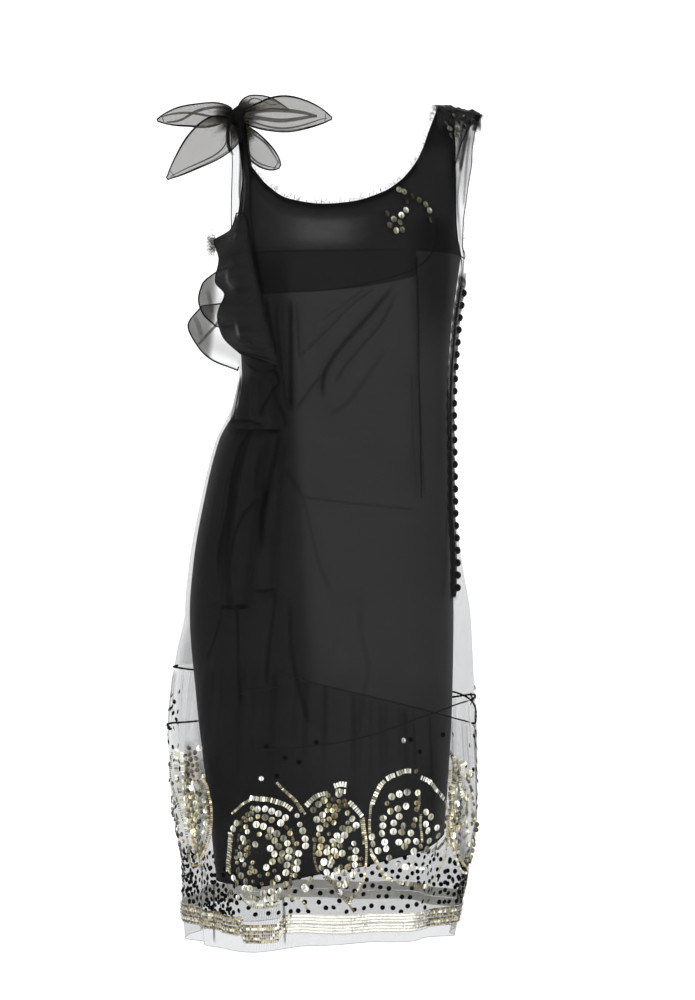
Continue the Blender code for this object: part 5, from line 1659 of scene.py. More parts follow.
def make_petal_gathers():
    """Dark gathers that run from the knot out along each petal and thin away; their darkness is partly cloth
    bunched over itself and partly painted shade.
    """
    reach = 0.34
    grids = []
    cover = {}
    for number, petal in enumerate(PETALS):
        for lift in (0.0005, -0.0016):
            grid = []
            for share in evenly(24, 0.0, 1.0):
                row = []
                for side in evenly(36, -0.92, 0.92):
                    place, rise = petal_place(petal, share * reach, side)
                    spot = place + rise * lift
                    pleats = (0.5 + 0.30 * math.cos(9 * side + number)
                              + 0.20 * math.sin(15 * side + 2 * number))
                    fade = smooth_step(1 - share * (1.10 - 0.3 * pleats))
                    rim = smooth_step((1 - abs(side)) / 0.25)
                    cover[tuple(spot)] = (1.6 + 3.0 * pleats) * fade ** 1.9 * rim
                    row.append(spot)
                grid.append(row)
            grids.append(grid)
    add_sheet("petal_gathers", grids, FOLD_NET, layers=layers_from(cover),
              uv=leaf_uv(Vector(KNOT_CENTRE)), merge=0.0000001)


def leaf_uv(root):
    def uv(place):
        away = place - root
        return away.x + away.y * 0.6, away.z + away.y * 0.3
    return uv


# Loose ends of the knot's cloth on the strap: half width, layers, places.
KNOT_ENDS = (
    (0.0026, 12.0, ((-0.1330, -0.0450, -0.0120), (-0.1360, -0.0540, -0.0280), (-0.1370, -0.0570, -0.0420),
                    (-0.1350, -0.0570, -0.0560), (-0.1310, -0.0560, -0.0640))),
    (0.0045, 12.0, ((-0.1400, -0.0420, -0.0130), (-0.1340, -0.0440, -0.0150), (-0.1270, -0.0440, -0.0190))),
    (0.0050, 6.0, ((-0.1240, -0.0400, -0.0180), (-0.1225, -0.0440, -0.0330), (-0.1200, -0.0500, -0.0520))),
    (0.0022, 4.0, ((-0.1300, -0.0400, -0.0200), (-0.1300, -0.0430, -0.0340), (-0.1275, -0.0470, -0.0500))),
)


def make_knot():
    """A tight knot: cloth gathered into it from all sides in uneven pleats."""
    shape = bmesh.new()
    bmesh.ops.create_uvsphere(shape, u_segments=72, v_segments=36, radius=1.0)
    for vertex in shape.verts:
        turn = math.atan2(vertex.co.z, vertex.co.x)
        pleat = 1 + 0.06 * math.cos(7 * turn + 1.0) + 0.04 * math.sin(13 * turn) + 0.02 * math.cos(29 * turn)
        pinch = 1 - 0.28 * math.exp(-((vertex.co.z - 0.1) / 0.22) ** 2)
        vertex.co = Vector((vertex.co.x * KNOT_SIZE[0] * pleat * pinch, vertex.co.y * KNOT_SIZE[1] * pinch,
                            vertex.co.z * KNOT_SIZE[2] * pleat))
        vertex.co += Vector(KNOT_CENTRE)
    shape.verts.layers.float.new("layers")
    cloth = shape.loops.layers.uv.new("cloth")
    for face in shape.faces:
        for loop in face.loops:
            loop[cloth].uv = (loop.vert.co.x + loop.vert.co.y, loop.vert.co.z)
    finish_piece("bow_wrap", shape, KNOT_ORGANZA, ["bow_knot"])
    ends = []
    cover = {}
    for half_width, most, places in KNOT_ENDS:
        path = curve_points(places, 10)
        grid = []
        for index, place in enumerate(path):
            share = index / (len(path) - 1)
            row = [place + Vector((half_width * side, 0.0010 * side**2, 0.0))
                   for side in evenly(6, -1.0, 1.0)]
            for side, spot in zip(evenly(6, -1.0, 1.0), row):
                cover[tuple(spot)] = most * (1 - side**2) * smooth_step((1 - share) / 0.35)
            grid.append(row)
        ends.append(grid)
    add_sheet("knot_ends", ends, FOLD_NET, layers=layers_from(cover), merge=0.0000001)


def make_strap_gather():
    """The net bundled on top of the left strap, in a soft crumpled heap."""
    columns = 60
    grid = []
    cover = {}
    for u in evenly(columns, 0.0, 1.0):
        x = 0.1085 + 0.0530 * u
        drop = SHOULDER_SLOPE * max(x - SHOULDER_TOP, 0.0)
        low = -0.034 - 0.006 * math.sin(7 * u + 0.6) + 0.008 * u
        front = on_surface(net_point, x, -0.014)
        foot = on_surface(net_point, x, low)
        path = curve_points([(x, 0.022, -0.011 - drop), (x, 0.010, 0.0042 - drop), front, foot], 15)
        row = []
        for index, place in enumerate(path):
            v = index / (len(path) - 1)
            bump = 0.5 + 0.28 * math.sin(13 * u + 9 * v) + 0.26 * math.sin(23 * u - 17 * v + 1.0)
            bump += 0.20 * math.sin(41 * u + 29 * v + 2.0)
            rim = min(smooth_step(u / 0.14) * smooth_step((1 - u) / 0.14), 1.0) * smooth_step((1 - v) / 0.25)
            out = Vector((0.0, -0.75, 0.65 * (1 - v)))
            spot = place + out * (0.0010 + 0.0042 * bump * rim)
            cover[tuple(spot)] = 5.0 * (0.35 + 0.65 * bump) * smooth_step((1 - v) / 0.3)
            row.append(spot)
        grid.append(row)
    add_sheet("strap_gather", [grid], FRILL_NET, layers=layers_from(cover),
              merge=0.0000001)


# ---------------------------------------------------------------- ruffle, flounces, drape, tails

def ruffle_grid(rows, count, cells, sewn_edge, waves, depth, belly, ripple):
    """A ribbon from a sewn edge to a free edge that waves front and back, full at its middle."""
    grid = []
    for share in evenly(count, 0.0, 1.0):
        first, second, *free = blend(rows, share)
        sewn = sewn_edge(first, second)
        free = Vector(free)
        free.y += depth * math.sin(2 * math.pi * waves * share)
        row = []
        for part in evenly(cells, 0.0, 1.0):
            place = sewn.lerp(free, part)
            place.y -= belly * math.sin(math.pi * part)
            wave = (math.sin(2 * math.pi * 13.3 * share + 1.1) + 0.6 * math.sin(2 * math.pi * 21.7 * share))
            place.y -= ripple * wave * math.sin(math.pi * min(part * 0.6 + 0.1, 1.0))
            row.append(place)
        grid.append(row)
    return grid


def edge_tube(shape, grid, radius):
    """A rolled edge along the free side and the two ends of a ruffle."""
    path = grid[0][len(grid[0]) // 3:] + [row[-1] for row in grid[1:-1]] + grid[-1][:len(grid[0]) // 3:-1]
    add_tube(shape, path, radius, 6)


def strip_uv(grid):
    """Cloth coordinates in metres for one grid, looked up by place."""
    table = {}
    for i, row in enumerate(grid):
        for j, place in enumerate(row):
            v = table[tuple(grid[i - 1][j])][1] + (place - grid[i - 1][j]).length if i else 0.0
            u = table[tuple(row[j - 1])][0] + (place - row[j - 1]).length if j else 0.0
            table[tuple(place)] = (u, v)

    def uv(place):
        return table.get(tuple(place), (place.x, place.z))
    return uv


# To the right of this line a flounce lies double.
FLOUNCE_DOUBLE_TO = -0.1525
# Dark folds of the flounces, as seen on the plane of the shoulders: half width, layers, places.
# Their extra layers are partly cloth lying double and partly painted shade in the folds.
FLOUNCE_FOLDS = (
    (0.0020, 3.0, ((-0.1765, -0.2834), (-0.1650, -0.2710), (-0.1540, -0.2590), (-0.1490, -0.2500))),
    (0.0030, 1.2, ((-0.1640, -0.2150), (-0.1600, -0.2330), (-0.1570, -0.2560))),
    (0.0034, 1.2, ((-0.1800, -0.2470), (-0.1740, -0.2600), (-0.1700, -0.2760))),
    (0.0016, 1.2, ((-0.1700, -0.2900), (-0.1560, -0.3010), (-0.1400, -0.3080))),
)


def layers_from(cover):
    """The layers of a sheet, looked up by place."""
    def layers(place):
        return cover.get(tuple(place), 0.0)
    return layers


def make_cascade():
    def frill_edge(x, height):
        return net_point(around_at(net_point, x, height), height, FRILL_LIFT)

    def flounce_edge(around, height):
        return net_point(around, height, FLOUNCE_LIFT)

    edges = bmesh.new()
    frill = ruffle_grid(FRILL, 190, 30, frill_edge, FRILL_WAVES, FRILL_WAVE_DEPTH, FRILL_BELLY, 0.0010)
    under = [[place + Vector((0.0015, 0.0035, 0.0)) * math.sin(math.pi * part)
              for part, place in zip(evenly(30, 0.0, 1.0), row)] for row in frill]

    cover = {}
    for i, row in enumerate(frill):
        for j, place in enumerate(row):
            part = j / (len(row) - 1)
            along = i / (len(frill) - 1)
            ends = smooth_step(along / 0.04)
            folds = 0.8 * math.sin(17 * along + 5 * part) + 0.6 * math.sin(43 * along - 7 * part + 1.0)
            slits = 0.0
            for middle, inner, outer in FRILL_SLITS:
                near = smooth_step(1 - abs(along - middle) / 0.10)
                slits = max(slits, near * smooth_step((part - inner) / 0.07)
                            * smooth_step((outer - part) / 0.07))
            cover[tuple(place)] = (7.0 + 1.5 * folds) * smooth_step(part / 0.25) * ends * (1 - 0.62 * slits)
            cover[tuple(under[i][j])] = 2.5 * smooth_step(part / 0.25) * ends * (1 - 0.5 * slits)

    add_sheet("frill", [frill, under], FRILL_NET, ["cascade_frill"],
              layers_from(cover), merge=0.0000001)
    edge_tube(edges, frill, 0.0007)
    for name, rows, node in (("flounce_upper_look", FLOUNCE_UPPER, "flounce_upper"),
                             ("flounce_lower_look", FLOUNCE_LOWER, "flounce_lower")):
        grid = ruffle_grid(rows, 70, 16, flounce_edge, 0.0, 0.0, 0.0, 0.0009)
        cover = {}
        for i, row in enumerate(grid):
            for j, place in enumerate(row):
                along = i / (len(grid) - 1)
                part = j / (len(row) - 1)
                double = smooth_step((FLOUNCE_DOUBLE_TO - place.x + 0.1 * (place.z + 0.25)) / 0.010)
                cover[tuple(place)] = 0.6 + 2.2 * double + 0.25 * math.sin(9 * along + 5 * part)
        add_sheet(name, [grid], FLOUNCE_ORGANZA, [node], layers_from(cover), uv=strip_uv(grid))
        edge_tube(edges, grid, 0.0009)
    finish_piece("ruffle_edges", edges, THREAD)
    # Strips of extra layers along the flounce folds: partly cloth lying double, partly painted shade.
    folds = []
    cover = {}
    depth = Vector(blend(FLOUNCE_LOWER, 0.5)[2:]).y - 0.0025
    nearer = (CAMERA_DISTANCE + depth) / CAMERA_DISTANCE
    for half_width, most, places in FLOUNCE_FOLDS:
        path = curve_points([(CAMERA_X + (x - CAMERA_X) * nearer, depth,
                              CAMERA_HEIGHT + (height - CAMERA_HEIGHT) * nearer) for x, height in places], 14)
        grid = []
        for index, place in enumerate(path):
            ahead = path[min(index + 1, len(path) - 1)] - path[max(index - 1, 0)]
            across = Vector((ahead.z, 0.0, -ahead.x)).normalized()
            ends = smooth_step(min(index, len(path) - 1 - index) / 8)
            row = [place + across * half_width * side for side in evenly(6, -1.0, 1.0)]
            for side, spot in zip(evenly(6, -1.0, 1.0), row):
                cover[tuple(spot)] = most * (1 - side**2) * ends
            grid.append(row)
        folds.append(grid)
    add_sheet("flounce_folds", folds, FLOUNCE_ORGANZA, layers=layers_from(cover), merge=0.0000001)
    make_drape()


def make_drape():
    grid = []
    for height in evenly(44, DRAPE[-1][0], DRAPE[0][0]):
        right, left, stand_off = blend(DRAPE, height)
        pinch = smooth_step((height + 0.3850) / 0.020)
        row = []
        for share in evenly(90, 0.0, 1.0):
            x = right + (left - right) * share
            phase = 2 * math.pi * share
            pleat = 0.0020 * math.cos(3.5 * phase) + 0.0012 * math.sin(9.0 * phase + 30 * height) * pinch
            pleat += 0.0007 * math.sin(17.0 * phase + 60 * height)
            swell = math.sin(math.pi * share) ** 0.6
            out = DRAPE_EDGE_LIFT + CLOTH_WALL + (stand_off * (0.72 + 0.28 * pinch) + pleat) * swell
            row.append(net_point(around_at(net_point, x, height), height, out))
        grid.append(row)
    cover = {}
    for i, row in enumerate(grid):
        for j, place in enumerate(row):
            share = j / (len(row) - 1)
            level = i / (len(grid) - 1)
            side = smooth_step(share / 0.22) * smooth_step((1 - share) / 0.22)
            folds = 0.7 * math.sin(11 * share + 6 * level) + 0.5 * math.sin(29 * share - 9 * level)
            cover[tuple(place)] = max(2.8 + folds, 0.0) * side * smooth_step((1 - level) / 0.3)
    add_sheet("drape", [grid], FRILL_NET, ["drape_knot"], layers_from(cover))

    tails = []
    names = []
    cover = {}
    for index, rows in enumerate(TAILS):
        grid = []
        bottom = rows[-1][0]
        top = rows[0][0]
        for level in evenly(90, 0.0, 1.0):
            row = []
            for share in evenly(26, 0.0, 1.0):
                uneven = 0.006 * math.sin(7 * share + index * 2.0) * (1 - level) ** 3
                height = bottom + (top - bottom) * level + max(uneven, 0.0)
                right, left, stand_off = blend(rows, height)
                x = right + (left - right) * share
                fold = 0.0016 * math.sin(2 * math.pi * (2.4 * share + 0.5 * level) + index)
                body = math.sin(math.pi * share)
                out = TAIL_EDGE_LIFT + CLOTH_WALL + (stand_off + fold) * body
                row.append(net_point(around_at(net_point, x, height), height, out))
            grid.append(row)
            for share, place in zip(evenly(26, 0.0, 1.0), row):
                side = smooth_step(share / 0.35) * smooth_step((1 - share) / 0.35)
                cover[tuple(place)] = 1.3 * side * smooth_step((1 - level) / 0.1)
        tails.append(grid)
        names.append(f"drape_tail_{index + 1}")
    add_sheet("tails", tails, FRILL_NET, names, layers_from(cover))


# ---------------------------------------------------------------- buttons

def button_place(height):
    return facing(net_point, blend(BUTTON_LINE, height)[0], height)


def make_buttons():
    """Silk-covered domes, gathered at the rim, on a narrow stand with a loop at each."""
    stand = []
    for height in evenly(120, STAND_BOTTOM, STAND_TOP):
        centre, out, up = button_place(height)
        across = up.cross(out)
        row = []
        for part in evenly(6, -1.0, 1.0):
            row.append(centre + out * (STAND_FACE - 0.0009 * part**2) - across * STAND_WIDTH / 2 * part)
        stand.append(row)
    add_sheet("stand", [stand], BUTTON_SILK, ["button_stand"])
    bunched = []
    cover = {}
    for height in evenly(240, STAND_BOTTOM - 0.004, STAND_TOP + 0.018):
        centre, out, up = button_place(height)
        across = up.cross(out)
        row = []
        for part in evenly(8, -1.0, 1.0):
            wave = 0.0006 * math.sin(420 * height + 3 * part)
            row.append(centre + out * (0.0026 + 0.0052 * part + wave) - across * 0.0035)
            share = min(height - STAND_BOTTOM + 0.004, STAND_TOP + 0.018 - height) / 0.012
            cover[tuple(row[-1])] = 5.5 * (1 - part**4) * smooth_step(share)
        bunched.append(row)
    add_sheet("stand_gather", [bunched], FRILL_NET, layers=layers_from(cover), merge=0.0000001)
    shape = bmesh.new()
    loops = bmesh.new()
    chance = random.Random(25)
    profile = ((0.0, 1.0), (0.35, 0.95), (0.65, 0.76), (0.86, 0.46), (0.97, 0.16), (1.0, -0.10),
               (0.90, -0.30), (0.60, -0.42), (0.0, -0.46))
    for height in evenly(BUTTON_COUNT - 1, FIRST_BUTTON, LAST_BUTTON):
        centre, out, up = button_place(height)
        across = up.cross(out)
        middle = centre + out * (STAND_FACE + SEAM_GAP + BUTTON_THICKNESS / 2)
        turned = chance.uniform(-0.16, 0.16)
        axis = (out + across * turned + up * chance.uniform(-0.10, 0.10)).normalized()
        first = axis.orthogonal().normalized()
        second = axis.cross(first)
        rings = []
        for radius_share, rise in profile:
            if radius_share == 0.0:
                rings.append([shape.verts.new(middle + axis * rise * BUTTON_THICKNESS / 2)])
                continue
            ring = []
            for step in range(24):
                angle = 2 * math.pi * step / 24
                pucker = 1 + (0.03 * math.cos(12 * angle) if 0.8 < radius_share else 0.0)
                radius = BUTTON_RADIUS * radius_share * pucker * 0.97
                ring.append(shape.verts.new(middle + axis * rise * BUTTON_THICKNESS / 2
                                            + (first * math.cos(angle) + second * math.sin(angle)) * radius))
            rings.append(ring)
        for before, after in zip(rings, rings[1:]):
            for step in range(24):
                following = (step + 1) % 24
                if len(before) == 1:
                    shape.faces.new((before[0], after[step], after[following]))
                elif len(after) == 1:
                    shape.faces.new((before[step], after[0], before[following]))
                else:
                    shape.faces.new((before[step], after[step], after[following], before[following]))
        path = curve_points([centre + out * 0.0030 + across * 0.0030 + up * 0.0030,
                             centre + out * 0.0036 + across * 0.0072,
                             centre + out * 0.0030 + across * 0.0030 - up * 0.0030], 6)
        add_tube(loops, path, 0.0004, 5)
    bmesh.ops.recalc_face_normals(shape, faces=shape.faces)
    shape.verts.layers.float.new("layers")
    cloth = shape.loops.layers.uv.new("cloth")
    for face in shape.faces:
        for loop in face.loops:
            loop[cloth].uv = (loop.vert.co.y, loop.vert.co.z)
    names = [f"button_{index + 1:02d}" for index in range(BUTTON_COUNT)]
    finish_piece("covered_buttons", shape, BUTTON_SILK, names)
    finish_piece("button_loops", loops, THREAD)


# ---------------------------------------------------------------- sequins

class Sequins:
    """Many small discs in one mesh, each with its own tint and lean."""

    def __init__(self, seed):
        self.shape = bmesh.new()
        self.tint = self.shape.verts.layers.float_color.new("tint")
        self.chance = random.Random(seed)

    def cup(self, centre, out, up, radius, lean, turn, tint, dish=0.07, hole=0.10):
        """A slightly cupped disc with a small hole; lean and turn are angles in radians."""
        out = Matrix.Rotation(lean, 3, up) @ out
        side = up.cross(out).normalized()
        out = Matrix.Rotation(turn, 3, side) @ out
        up = out.cross(side).normalized()
        segments = 14
        rings = []
        # Each cup's tint is lighter towards one side and darker at its rim: a painted highlight and painted
        # shade, as on polished metal.
        painted_highlight_side = self.chance.gauss(2.2, 1.2)
        for share, rise in ((hole, -dish), (0.86, 0.0), (1.0, 0.03)):
            ring = []
            for step in range(segments):
                angle = 2 * math.pi * step / segments
                vertex = self.shape.verts.new(
                    centre + out * (rise + dish) * radius
                    + (side * math.cos(angle) + up * math.sin(angle)) * radius * share)
                # painted highlight towards one side of the cup, painted shade on its rim
                shade = 1 + 0.45 * share * math.cos(angle - painted_highlight_side) - (0.35 if share == 1.0 else 0.0)
                vertex[self.tint] = (*(min(value * shade, 1.0) for value in tint), 1.0)
                ring.append(vertex)
            rings.append(ring)
        for before, after in zip(rings, rings[1:]):
            for step in range(segments):
                following = (step + 1) % segments
                self.shape.faces.new((before[step], after[step], after[following], before[following]))

    def bar(self, centre, out, along, half_long, half_wide, lean, tint):
        """A bar of tape across its line, leaning on the next."""
        side = out.cross(along).normalized()
        out = Matrix.Rotation(lean, 3, side) @ out
        along = side.cross(out).normalized()
        corners = []
        for lengthways, sideways in ((-1, -1), (1, -1), (1, 1), (-1, 1)):
            vertex = self.shape.verts.new(centre + along * lengthways * half_long
                                          + side * sideways * half_wide)
            vertex[self.tint] = (*tint, 1.0)
            corners.append(vertex)
        self.shape.faces.new(corners)

    def near_tint(self, name):
        """A tint near the named one; now and then a sequin gets a painted highlight where it catches the
        light and painted shade where it turns away.
        """
        painted_shine = self.chance.choice((1.3, 1.1, 1.0, 0.85, 0.7, 0.45)) * self.chance.uniform(0.85, 1.15)
        gold = self.chance.uniform(0.0, 0.15)
        return tuple(min(a * (1 - gold) * painted_shine + b * gold * painted_shine, 1.0)
                     for a, b in zip(TINTS[name], TINTS["gold"]))


def medallion_map(x, height, back):
    """Turns metres across and up from a medallion's centre into a place round the net."""
    centre = around_at(net_point, x, height, back)
    step = 0.01
    rate = (net_point(centre + step, height) - net_point(centre - step, height)).length / (2 * step)

    def place(across, up):
        return facing(net_point, centre + across / rate, height + up)
    return place


def seen_strings(name):
    """A medallion's strings, with their places in millimetres across and up from its middle."""
    corner_x, scale_x, corner_y, scale_y, middle_x, middle_y = MEDALLION_READINGS[name]
    strings = []
    for kind, tint, *places in MEDALLION_ROWS[name]:
        strings.append((kind, tint, tuple(
            (round((corner_x + x / scale_x - middle_x) / PIXELS_PER_MILLIMETRE),
             round((middle_y - corner_y - y / scale_y) / PIXELS_PER_MILLIMETRE)) for x, y in places)))
    return tuple(strings)


def fill_rings(name):
    """Single small sequins along even rings inside a medallion."""
    if name not in MEDALLION_FILLS:
        return
    (u, v), (half_wide, half_high), (hole_wide, hole_high), apart, rings, tints = MEDALLION_FILLS[name]
    chance = random.Random(len(name))
    for ring in range(rings):
        share = (ring + 0.5) / rings
        wide = hole_wide + (half_wide - hole_wide) * share
        high = hole_high + (half_high - hole_high) * share
        length = 2 * math.pi * math.sqrt((wide**2 + high**2) / 2)
        for turn in evenly(max(round(length / apart), 3), 0.0, 2 * math.pi)[:-1]:
            tint = chance.choice(tints)
            across = u + wide * math.cos(turn) + chance.gauss(0, 0.5)
            upwards = v + high * math.sin(turn) + chance.gauss(0, 0.6)
            yield "filling", tint, ((across, upwards),)


def spaced(path, distance):
    """Places at even distances along a path of places with their directions."""
    kept = [path[0]]
    for step in path[1:]:
        if (step[0] - kept[-1][0]).length >= distance:
            kept.append(step)
    return kept


def tape_drop(around):
    """How much lower the hem tape hangs at a place, where the hem is pleated."""
    around = (around + 0.5) % 1.0 - 0.5
    drop = 0.0
    for start, end, depth in TAPE_DROPS:
        drop += depth * smooth_step((around - start) / 0.004) * smooth_step((end - around) / 0.004)
    return drop


def tape_tint(around):
    """1 where the tape is cream, along the front and the back, and 0 where it is gold and brown."""
    front = smooth_step((around - 0.205) / 0.02) * smooth_step((0.395 - around) / 0.03)
    return front + smooth_step((around - 0.58) / 0.05) * smooth_step((0.95 - around) / 0.05)


def make_sequins():
    cups = Sequins(11)
    tape = Sequins(12)
    stitches = bmesh.new()
    chance = cups.chance

    def sew(place, out, up, lean, turn, tint, radius):
        cups.cup(place + out * SEQUIN_LIFT, out, up, radius, lean, turn, tint)
        across = up.cross(out)
        tilt = up * math.cos(lean) + across * chance.uniform(-0.25, 0.25)
        add_tube(stitches, [place + out * 0.0014 - tilt * radius * 0.95, place + out * 0.0021,
                            place + out * 0.0014 + tilt * radius * 0.95], STITCH_RADIUS, 4)

    def upwards(out):
        return (Vector((0.0, 0.0, 1.0)) - out * out.z).normalized()

    for name, x, height, back in MEDALLIONS:
        to_net = medallion_map(x, height, back)
        turned = SIDE_TURN if name.endswith("side") else 0.0
        taken = []
        for kind, tint, places in seen_strings(name) + tuple(fill_rings(name)):
            radius, distance = SEQUIN_KINDS[kind]
            spots = [(u / 1000, v / 1000, 0.0) for u, v in places]
            points = curve_points(spots, 40) if len(spots) > 1 else [Vector(spots[0])]
            if kind == "filling":
                apart = MEDALLION_FILLS[name][3] / 1000
                if any((points[0] - other).length < apart for other in taken):
                    continue
            taken += points[::8] if len(points) > 1 else points
            path = []
            for u, v, _ in points:
                if back:
                    path.append(to_net(u, v))
                else:
                    place, out = seen_place(net_point, x + u, height + v)
                    out = (out + Vector((0.0, -turned, 0.0))).normalized()
                    path.append((place + out * 0.0006 * turned, out, upwards(out)))
            row = spaced(path, distance)
            for index, (place, out, up) in enumerate(row):
                shade = cups.near_tint(tint)
                if kind in ("cup", "small", "filling"):
                    jitter = up * chance.gauss(0, 0.0004) + up.cross(out) * chance.gauss(0, 0.0004)
                    jitter += out * chance.uniform(0.0, 0.0008)
                    sew(place + jitter, out, up, chance.gauss(0, 0.20), chance.gauss(0, 0.20), shade,
                        radius * chance.uniform(0.92, 1.03))
                    continue
                ahead = row[min(index + 1, len(row) - 1)][0] - row[max(index - 1, 0)][0]
                if ahead.length > 0.0:
                    tape.bar(place + out * BAR_LIFT, out, ahead.normalized(), distance * 0.42,
                             radius * chance.uniform(0.85, 1.1), chance.gauss(0.1, 0.25), shade)

    for x, height, lean, tint in SPRIG + SHOULDER_SEQUINS:
        place, out = seen_place(net_point, x, height)
        shade = cups.near_tint(tint)
        # painted shade: the sequins near the shoulder are held darker, for the net over them
        if height > SHOULDER_SEQUINS[-1][1] - SHOULDER_REACH:
            shade = tuple(min(value, SHOULDER_BRIGHTEST) for value in shade)
        sew(place, out, upwards(out), math.radians(lean), chance.gauss(0, 0.12), shade, SPRIG_RADIUS)

    base = []
    stitch = bmesh.new()
    for height, width in zip(TAPE_HEIGHTS, TAPE_WIDTHS):
        grid = []
        for offset in (-width / 2, -width / 6, width / 6, width / 2):
            row = []
            for around in evenly(720, 0.0, 1.0):
                centre, out, _ = facing(net_point, around, height - tape_drop(around) + offset)
                row.append(centre + out * 0.0006)
            grid.append(row)
        base.append(grid)
        spots = evenly(560, 0.0, 1.0)
        middle = [facing(net_point, around, height - tape_drop(around)) for around in spots]
        for index, (centre, out, up) in enumerate(middle[:-1]):
            ahead = (middle[index + 1][0] - centre).normalized()
            cream = tape_tint(spots[index])
            for offset, names in TAPE_ROWS:
                name = "bright" if chance.random() < cream else chance.choice(names)
                shade = tape.near_tint(name)
                if name == "bright":
                    shade = tuple(0.75 * value + 0.25 * part for value, part in zip(TINTS["bright"], shade))
                tape.bar(centre + out * 0.0014 + up * (width * offset + chance.gauss(0, 0.00025)), out, ahead,
                         0.00105, width * 0.135, chance.gauss(0.1, 0.15), shade)
        for offset in (-width * 0.5, -width * 0.17, width * 0.17, width * 0.5):
            path = [place + out * 0.0030 + up * offset for place, out, up in middle]
            add_tube(stitch, path, 0.00018, 4)
    add_sheet("tape_base", base, TAPE_BASE, ["hem_tape_lower", "hem_tape_upper"],
              lambda place: 6.0 if place.y < -0.04 or place.y > 0.05 else 2.0)
    finish_piece("tape_stitches", stitch, OLIVE_THREAD)
    finish_piece("cup_sequins", cups.shape, SEQUIN)
    finish_piece("tape_sequins", tape.shape, SEQUIN, smooth=False)
    finish_piece("sequin_stitches", stitches, OLIVE_THREAD)


def make_paillettes():
    """Black paillettes, scattered between the medallions and the tape and a few above."""
    batch = Sequins(31)
    chance = batch.chance
    placed = []

    def scatter(count, arounds, heights, apart):
        for _ in range(count * 12):
            if count <= 0:
                return
            around = chance.uniform(*arounds) % 1.0
            height = chance.uniform(*heights)
            centre, out, up = facing(net_point, around, height)
            if any((centre - other).length < apart for other in placed):
                continue
            placed.append(centre)
            count -= 1
            batch.cup(centre + out * 0.0007, out, up, 0.0029, chance.gauss(0, 0.15), chance.gauss(0, 0.15),
                      (0.01, 0.01, 0.01), 0.03, 0.01)

    scatter(62, (0.17, 0.40), (-0.938, -0.905), 0.0090)
    scatter(95, (-0.02, 0.17), (-0.942, -0.888), 0.0058)
    scatter(45, (0.01, 0.06), (-0.930, -0.872), 0.0044)
    scatter(24, (0.11, 0.16), (-0.942, -0.915), 0.0044)
    scatter(70, (0.40, 0.50), (-0.938, -0.885), 0.0062)
    scatter(190, (0.50, 0.98), (-0.938, -0.900), 0.0080)
    scatter(12, (0.20, 0.45), (-0.790, -0.735), 0.0130)
    scatter(45, (0.45, 0.51), (-0.860, -0.690), 0.0060)
    scatter(50, (-0.01, 0.07), (-0.860, -0.690), 0.0070)
    finish_piece("black_paillettes", batch.shape, PAILLETTE)


# ---------------------------------------------------------------- flat sizes of the cloth

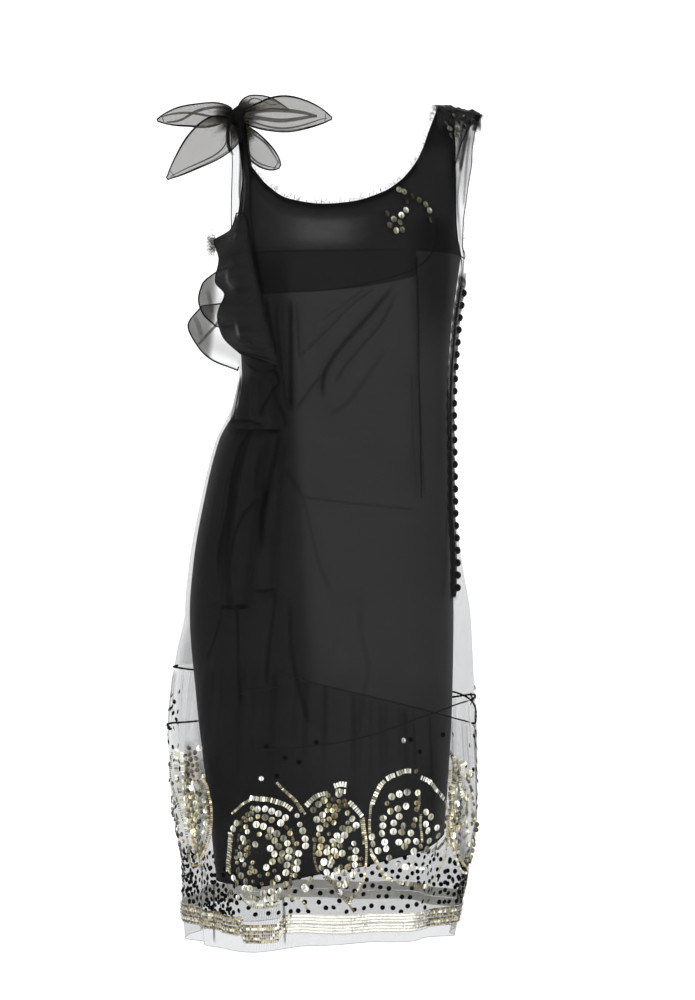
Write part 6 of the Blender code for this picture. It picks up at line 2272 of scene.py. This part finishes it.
# Piece, flat width and length, flat area, how it is held, what holds it. The yokes and the upper
# net hang from the wearer's shoulders, which aren't modelled. Widths and lengths are set to the
# finished shapes. A lot of narrow strips is given by its summed length, at the least width of 10 mm.
SHEETS = (
    ("slip_front", (0.52, 0.76), 0.292, "hung", ["slip_front_yoke", "slip_front_band"]),
    ("slip_back", (0.50, 0.76), 0.280, "hung", ["slip_back_yoke"]),
    ("slip_band", (0.31, 0.060), 0.0152, "hung", ["slip_front_yoke"]),
    ("yoke_front", (0.30, 0.185), 0.0285, "hung", []),
    ("yoke_back", (0.30, 0.185), 0.0280, "hung", []),
    ("net_upper_front", (0.48, 0.76), 0.265, "hung", []),
    ("net_upper_back", (0.46, 0.75), 0.245, "hung", []),
    ("net_tier_front", (0.66, 0.34), 0.175, "gathered", ["net_front_upper"]),
    ("net_tier_back", (0.62, 0.33), 0.165, "gathered", ["net_back_upper"]),
    ("net_folds", (0.010, 5.60), 0.0435, "folded", ["net_front_upper", "net_front_lower"]),
    ("strap_gather", (0.062, 0.080), 0.0043, "gathered", ["net_front_upper"]),
    ("petal_1", (0.040, 0.092), 0.00265, "gathered", ["bow_knot"]),
    ("petal_2", (0.054, 0.100), 0.00410, "gathered", ["bow_knot"]),
    ("petal_3", (0.025, 0.078), 0.00150, "gathered", ["bow_knot"]),
    ("petal_4", (0.048, 0.108), 0.00385, "gathered", ["bow_knot"]),
    ("petal_5", (0.032, 0.075), 0.00180, "gathered", ["bow_knot"]),
    ("petal_gathers", (0.044, 0.220), 0.0090, "gathered", ["bow_knot"]),
    ("petal_folds", (0.010, 0.80), 0.00270, "folded", [f"bow_petal_{number}" for number in range(1, 6)]),
    ("knot_ends", (0.010, 0.15), 0.00092, "gathered", ["bow_knot"]),
    ("frill", (0.105, 0.23), 0.0230, "gathered", ["net_front_upper"]),
    ("flounce_upper_look", (0.045, 0.085), 0.0033, "gathered", ["net_front_upper"]),
    ("flounce_lower_look", (0.055, 0.105), 0.0045, "gathered", ["net_front_upper"]),
    ("flounce_folds", (0.010, 0.18), 0.00080, "folded", ["flounce_lower"]),
    ("drape", (0.085, 0.105), 0.0080, "draped", ["net_front_upper"]),
    ("tails", (0.105, 0.210), 0.0205, "hung", ["drape_knot"]),
    ("stand", (0.010, 0.380), 0.0037, "hung", ["net_front_upper"]),
    ("stand_gather", (0.0125, 0.400), 0.0043, "gathered", ["button_stand"]),
    ("tape_base", (0.0105, 2.10), 0.0212, "hung", ["net_front_lower", "net_back_lower"]),
)


# ---------------------------------------------------------------- frayed threads

def make_frays(net_yokes):
    """Loose threads along the neckline and the left armhole, and a tuft at the ruffle's top."""
    shape = bmesh.new()
    chance = random.Random(5)

    def fray(start, way, length, radius=0.00013):
        bend = Vector((chance.gauss(0, 0.3), chance.gauss(0, 0.3), chance.gauss(0, 0.3)))
        middle = start + (way + bend * 0.5).normalized() * length * 0.5
        end = start + (way + bend * 1.5).normalized() * length
        add_tube(shape, curve_points([start, middle, end], 3), radius, 3)

    front = neckline_path(net_yokes["front"], False)
    for _ in range(420):
        place = chance.choice(front)
        away = Vector((0.0, -0.06, 0.02)) - place
        away.x += chance.gauss(0, 0.04)
        away.y = chance.gauss(0, 0.02)
        fray(place, away.normalized(), chance.uniform(0.003, 0.010), 0.00016)
    _, left = armhole_paths(net_yokes["front"], False)
    for _ in range(110):
        place = chance.choice(left[4:-6])
        fray(place, Vector((1.0, chance.gauss(0, 0.4), chance.gauss(0, 0.6))).normalized(),
             chance.uniform(0.002, 0.006))
    tuft = Vector(blend(FRILL, 0.18)[2:])
    for _ in range(160):
        start = tuft + Vector((chance.gauss(0, 0.001), chance.gauss(0, 0.001), chance.gauss(0, 0.006)))
        ahead = Vector((-1.0, 0.2, chance.gauss(0, 0.35))).normalized()
        fray(start, ahead, chance.uniform(0.004, 0.012), 0.00018)
    finish_piece("frayed_threads", shape, FRAY_THREAD)


make_stage()
slip_yokes = make_slip()
net_yokes = make_net()
make_bindings(slip_yokes, net_yokes)
make_net_folds()
make_strap_gather()
make_bow()
make_cascade()
make_buttons()
make_sequins()
make_paillettes()
make_frays(net_yokes)

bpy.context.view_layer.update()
for piece_name, flat_size, flat_area, held_how, holders in SHEETS:
    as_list(holders)
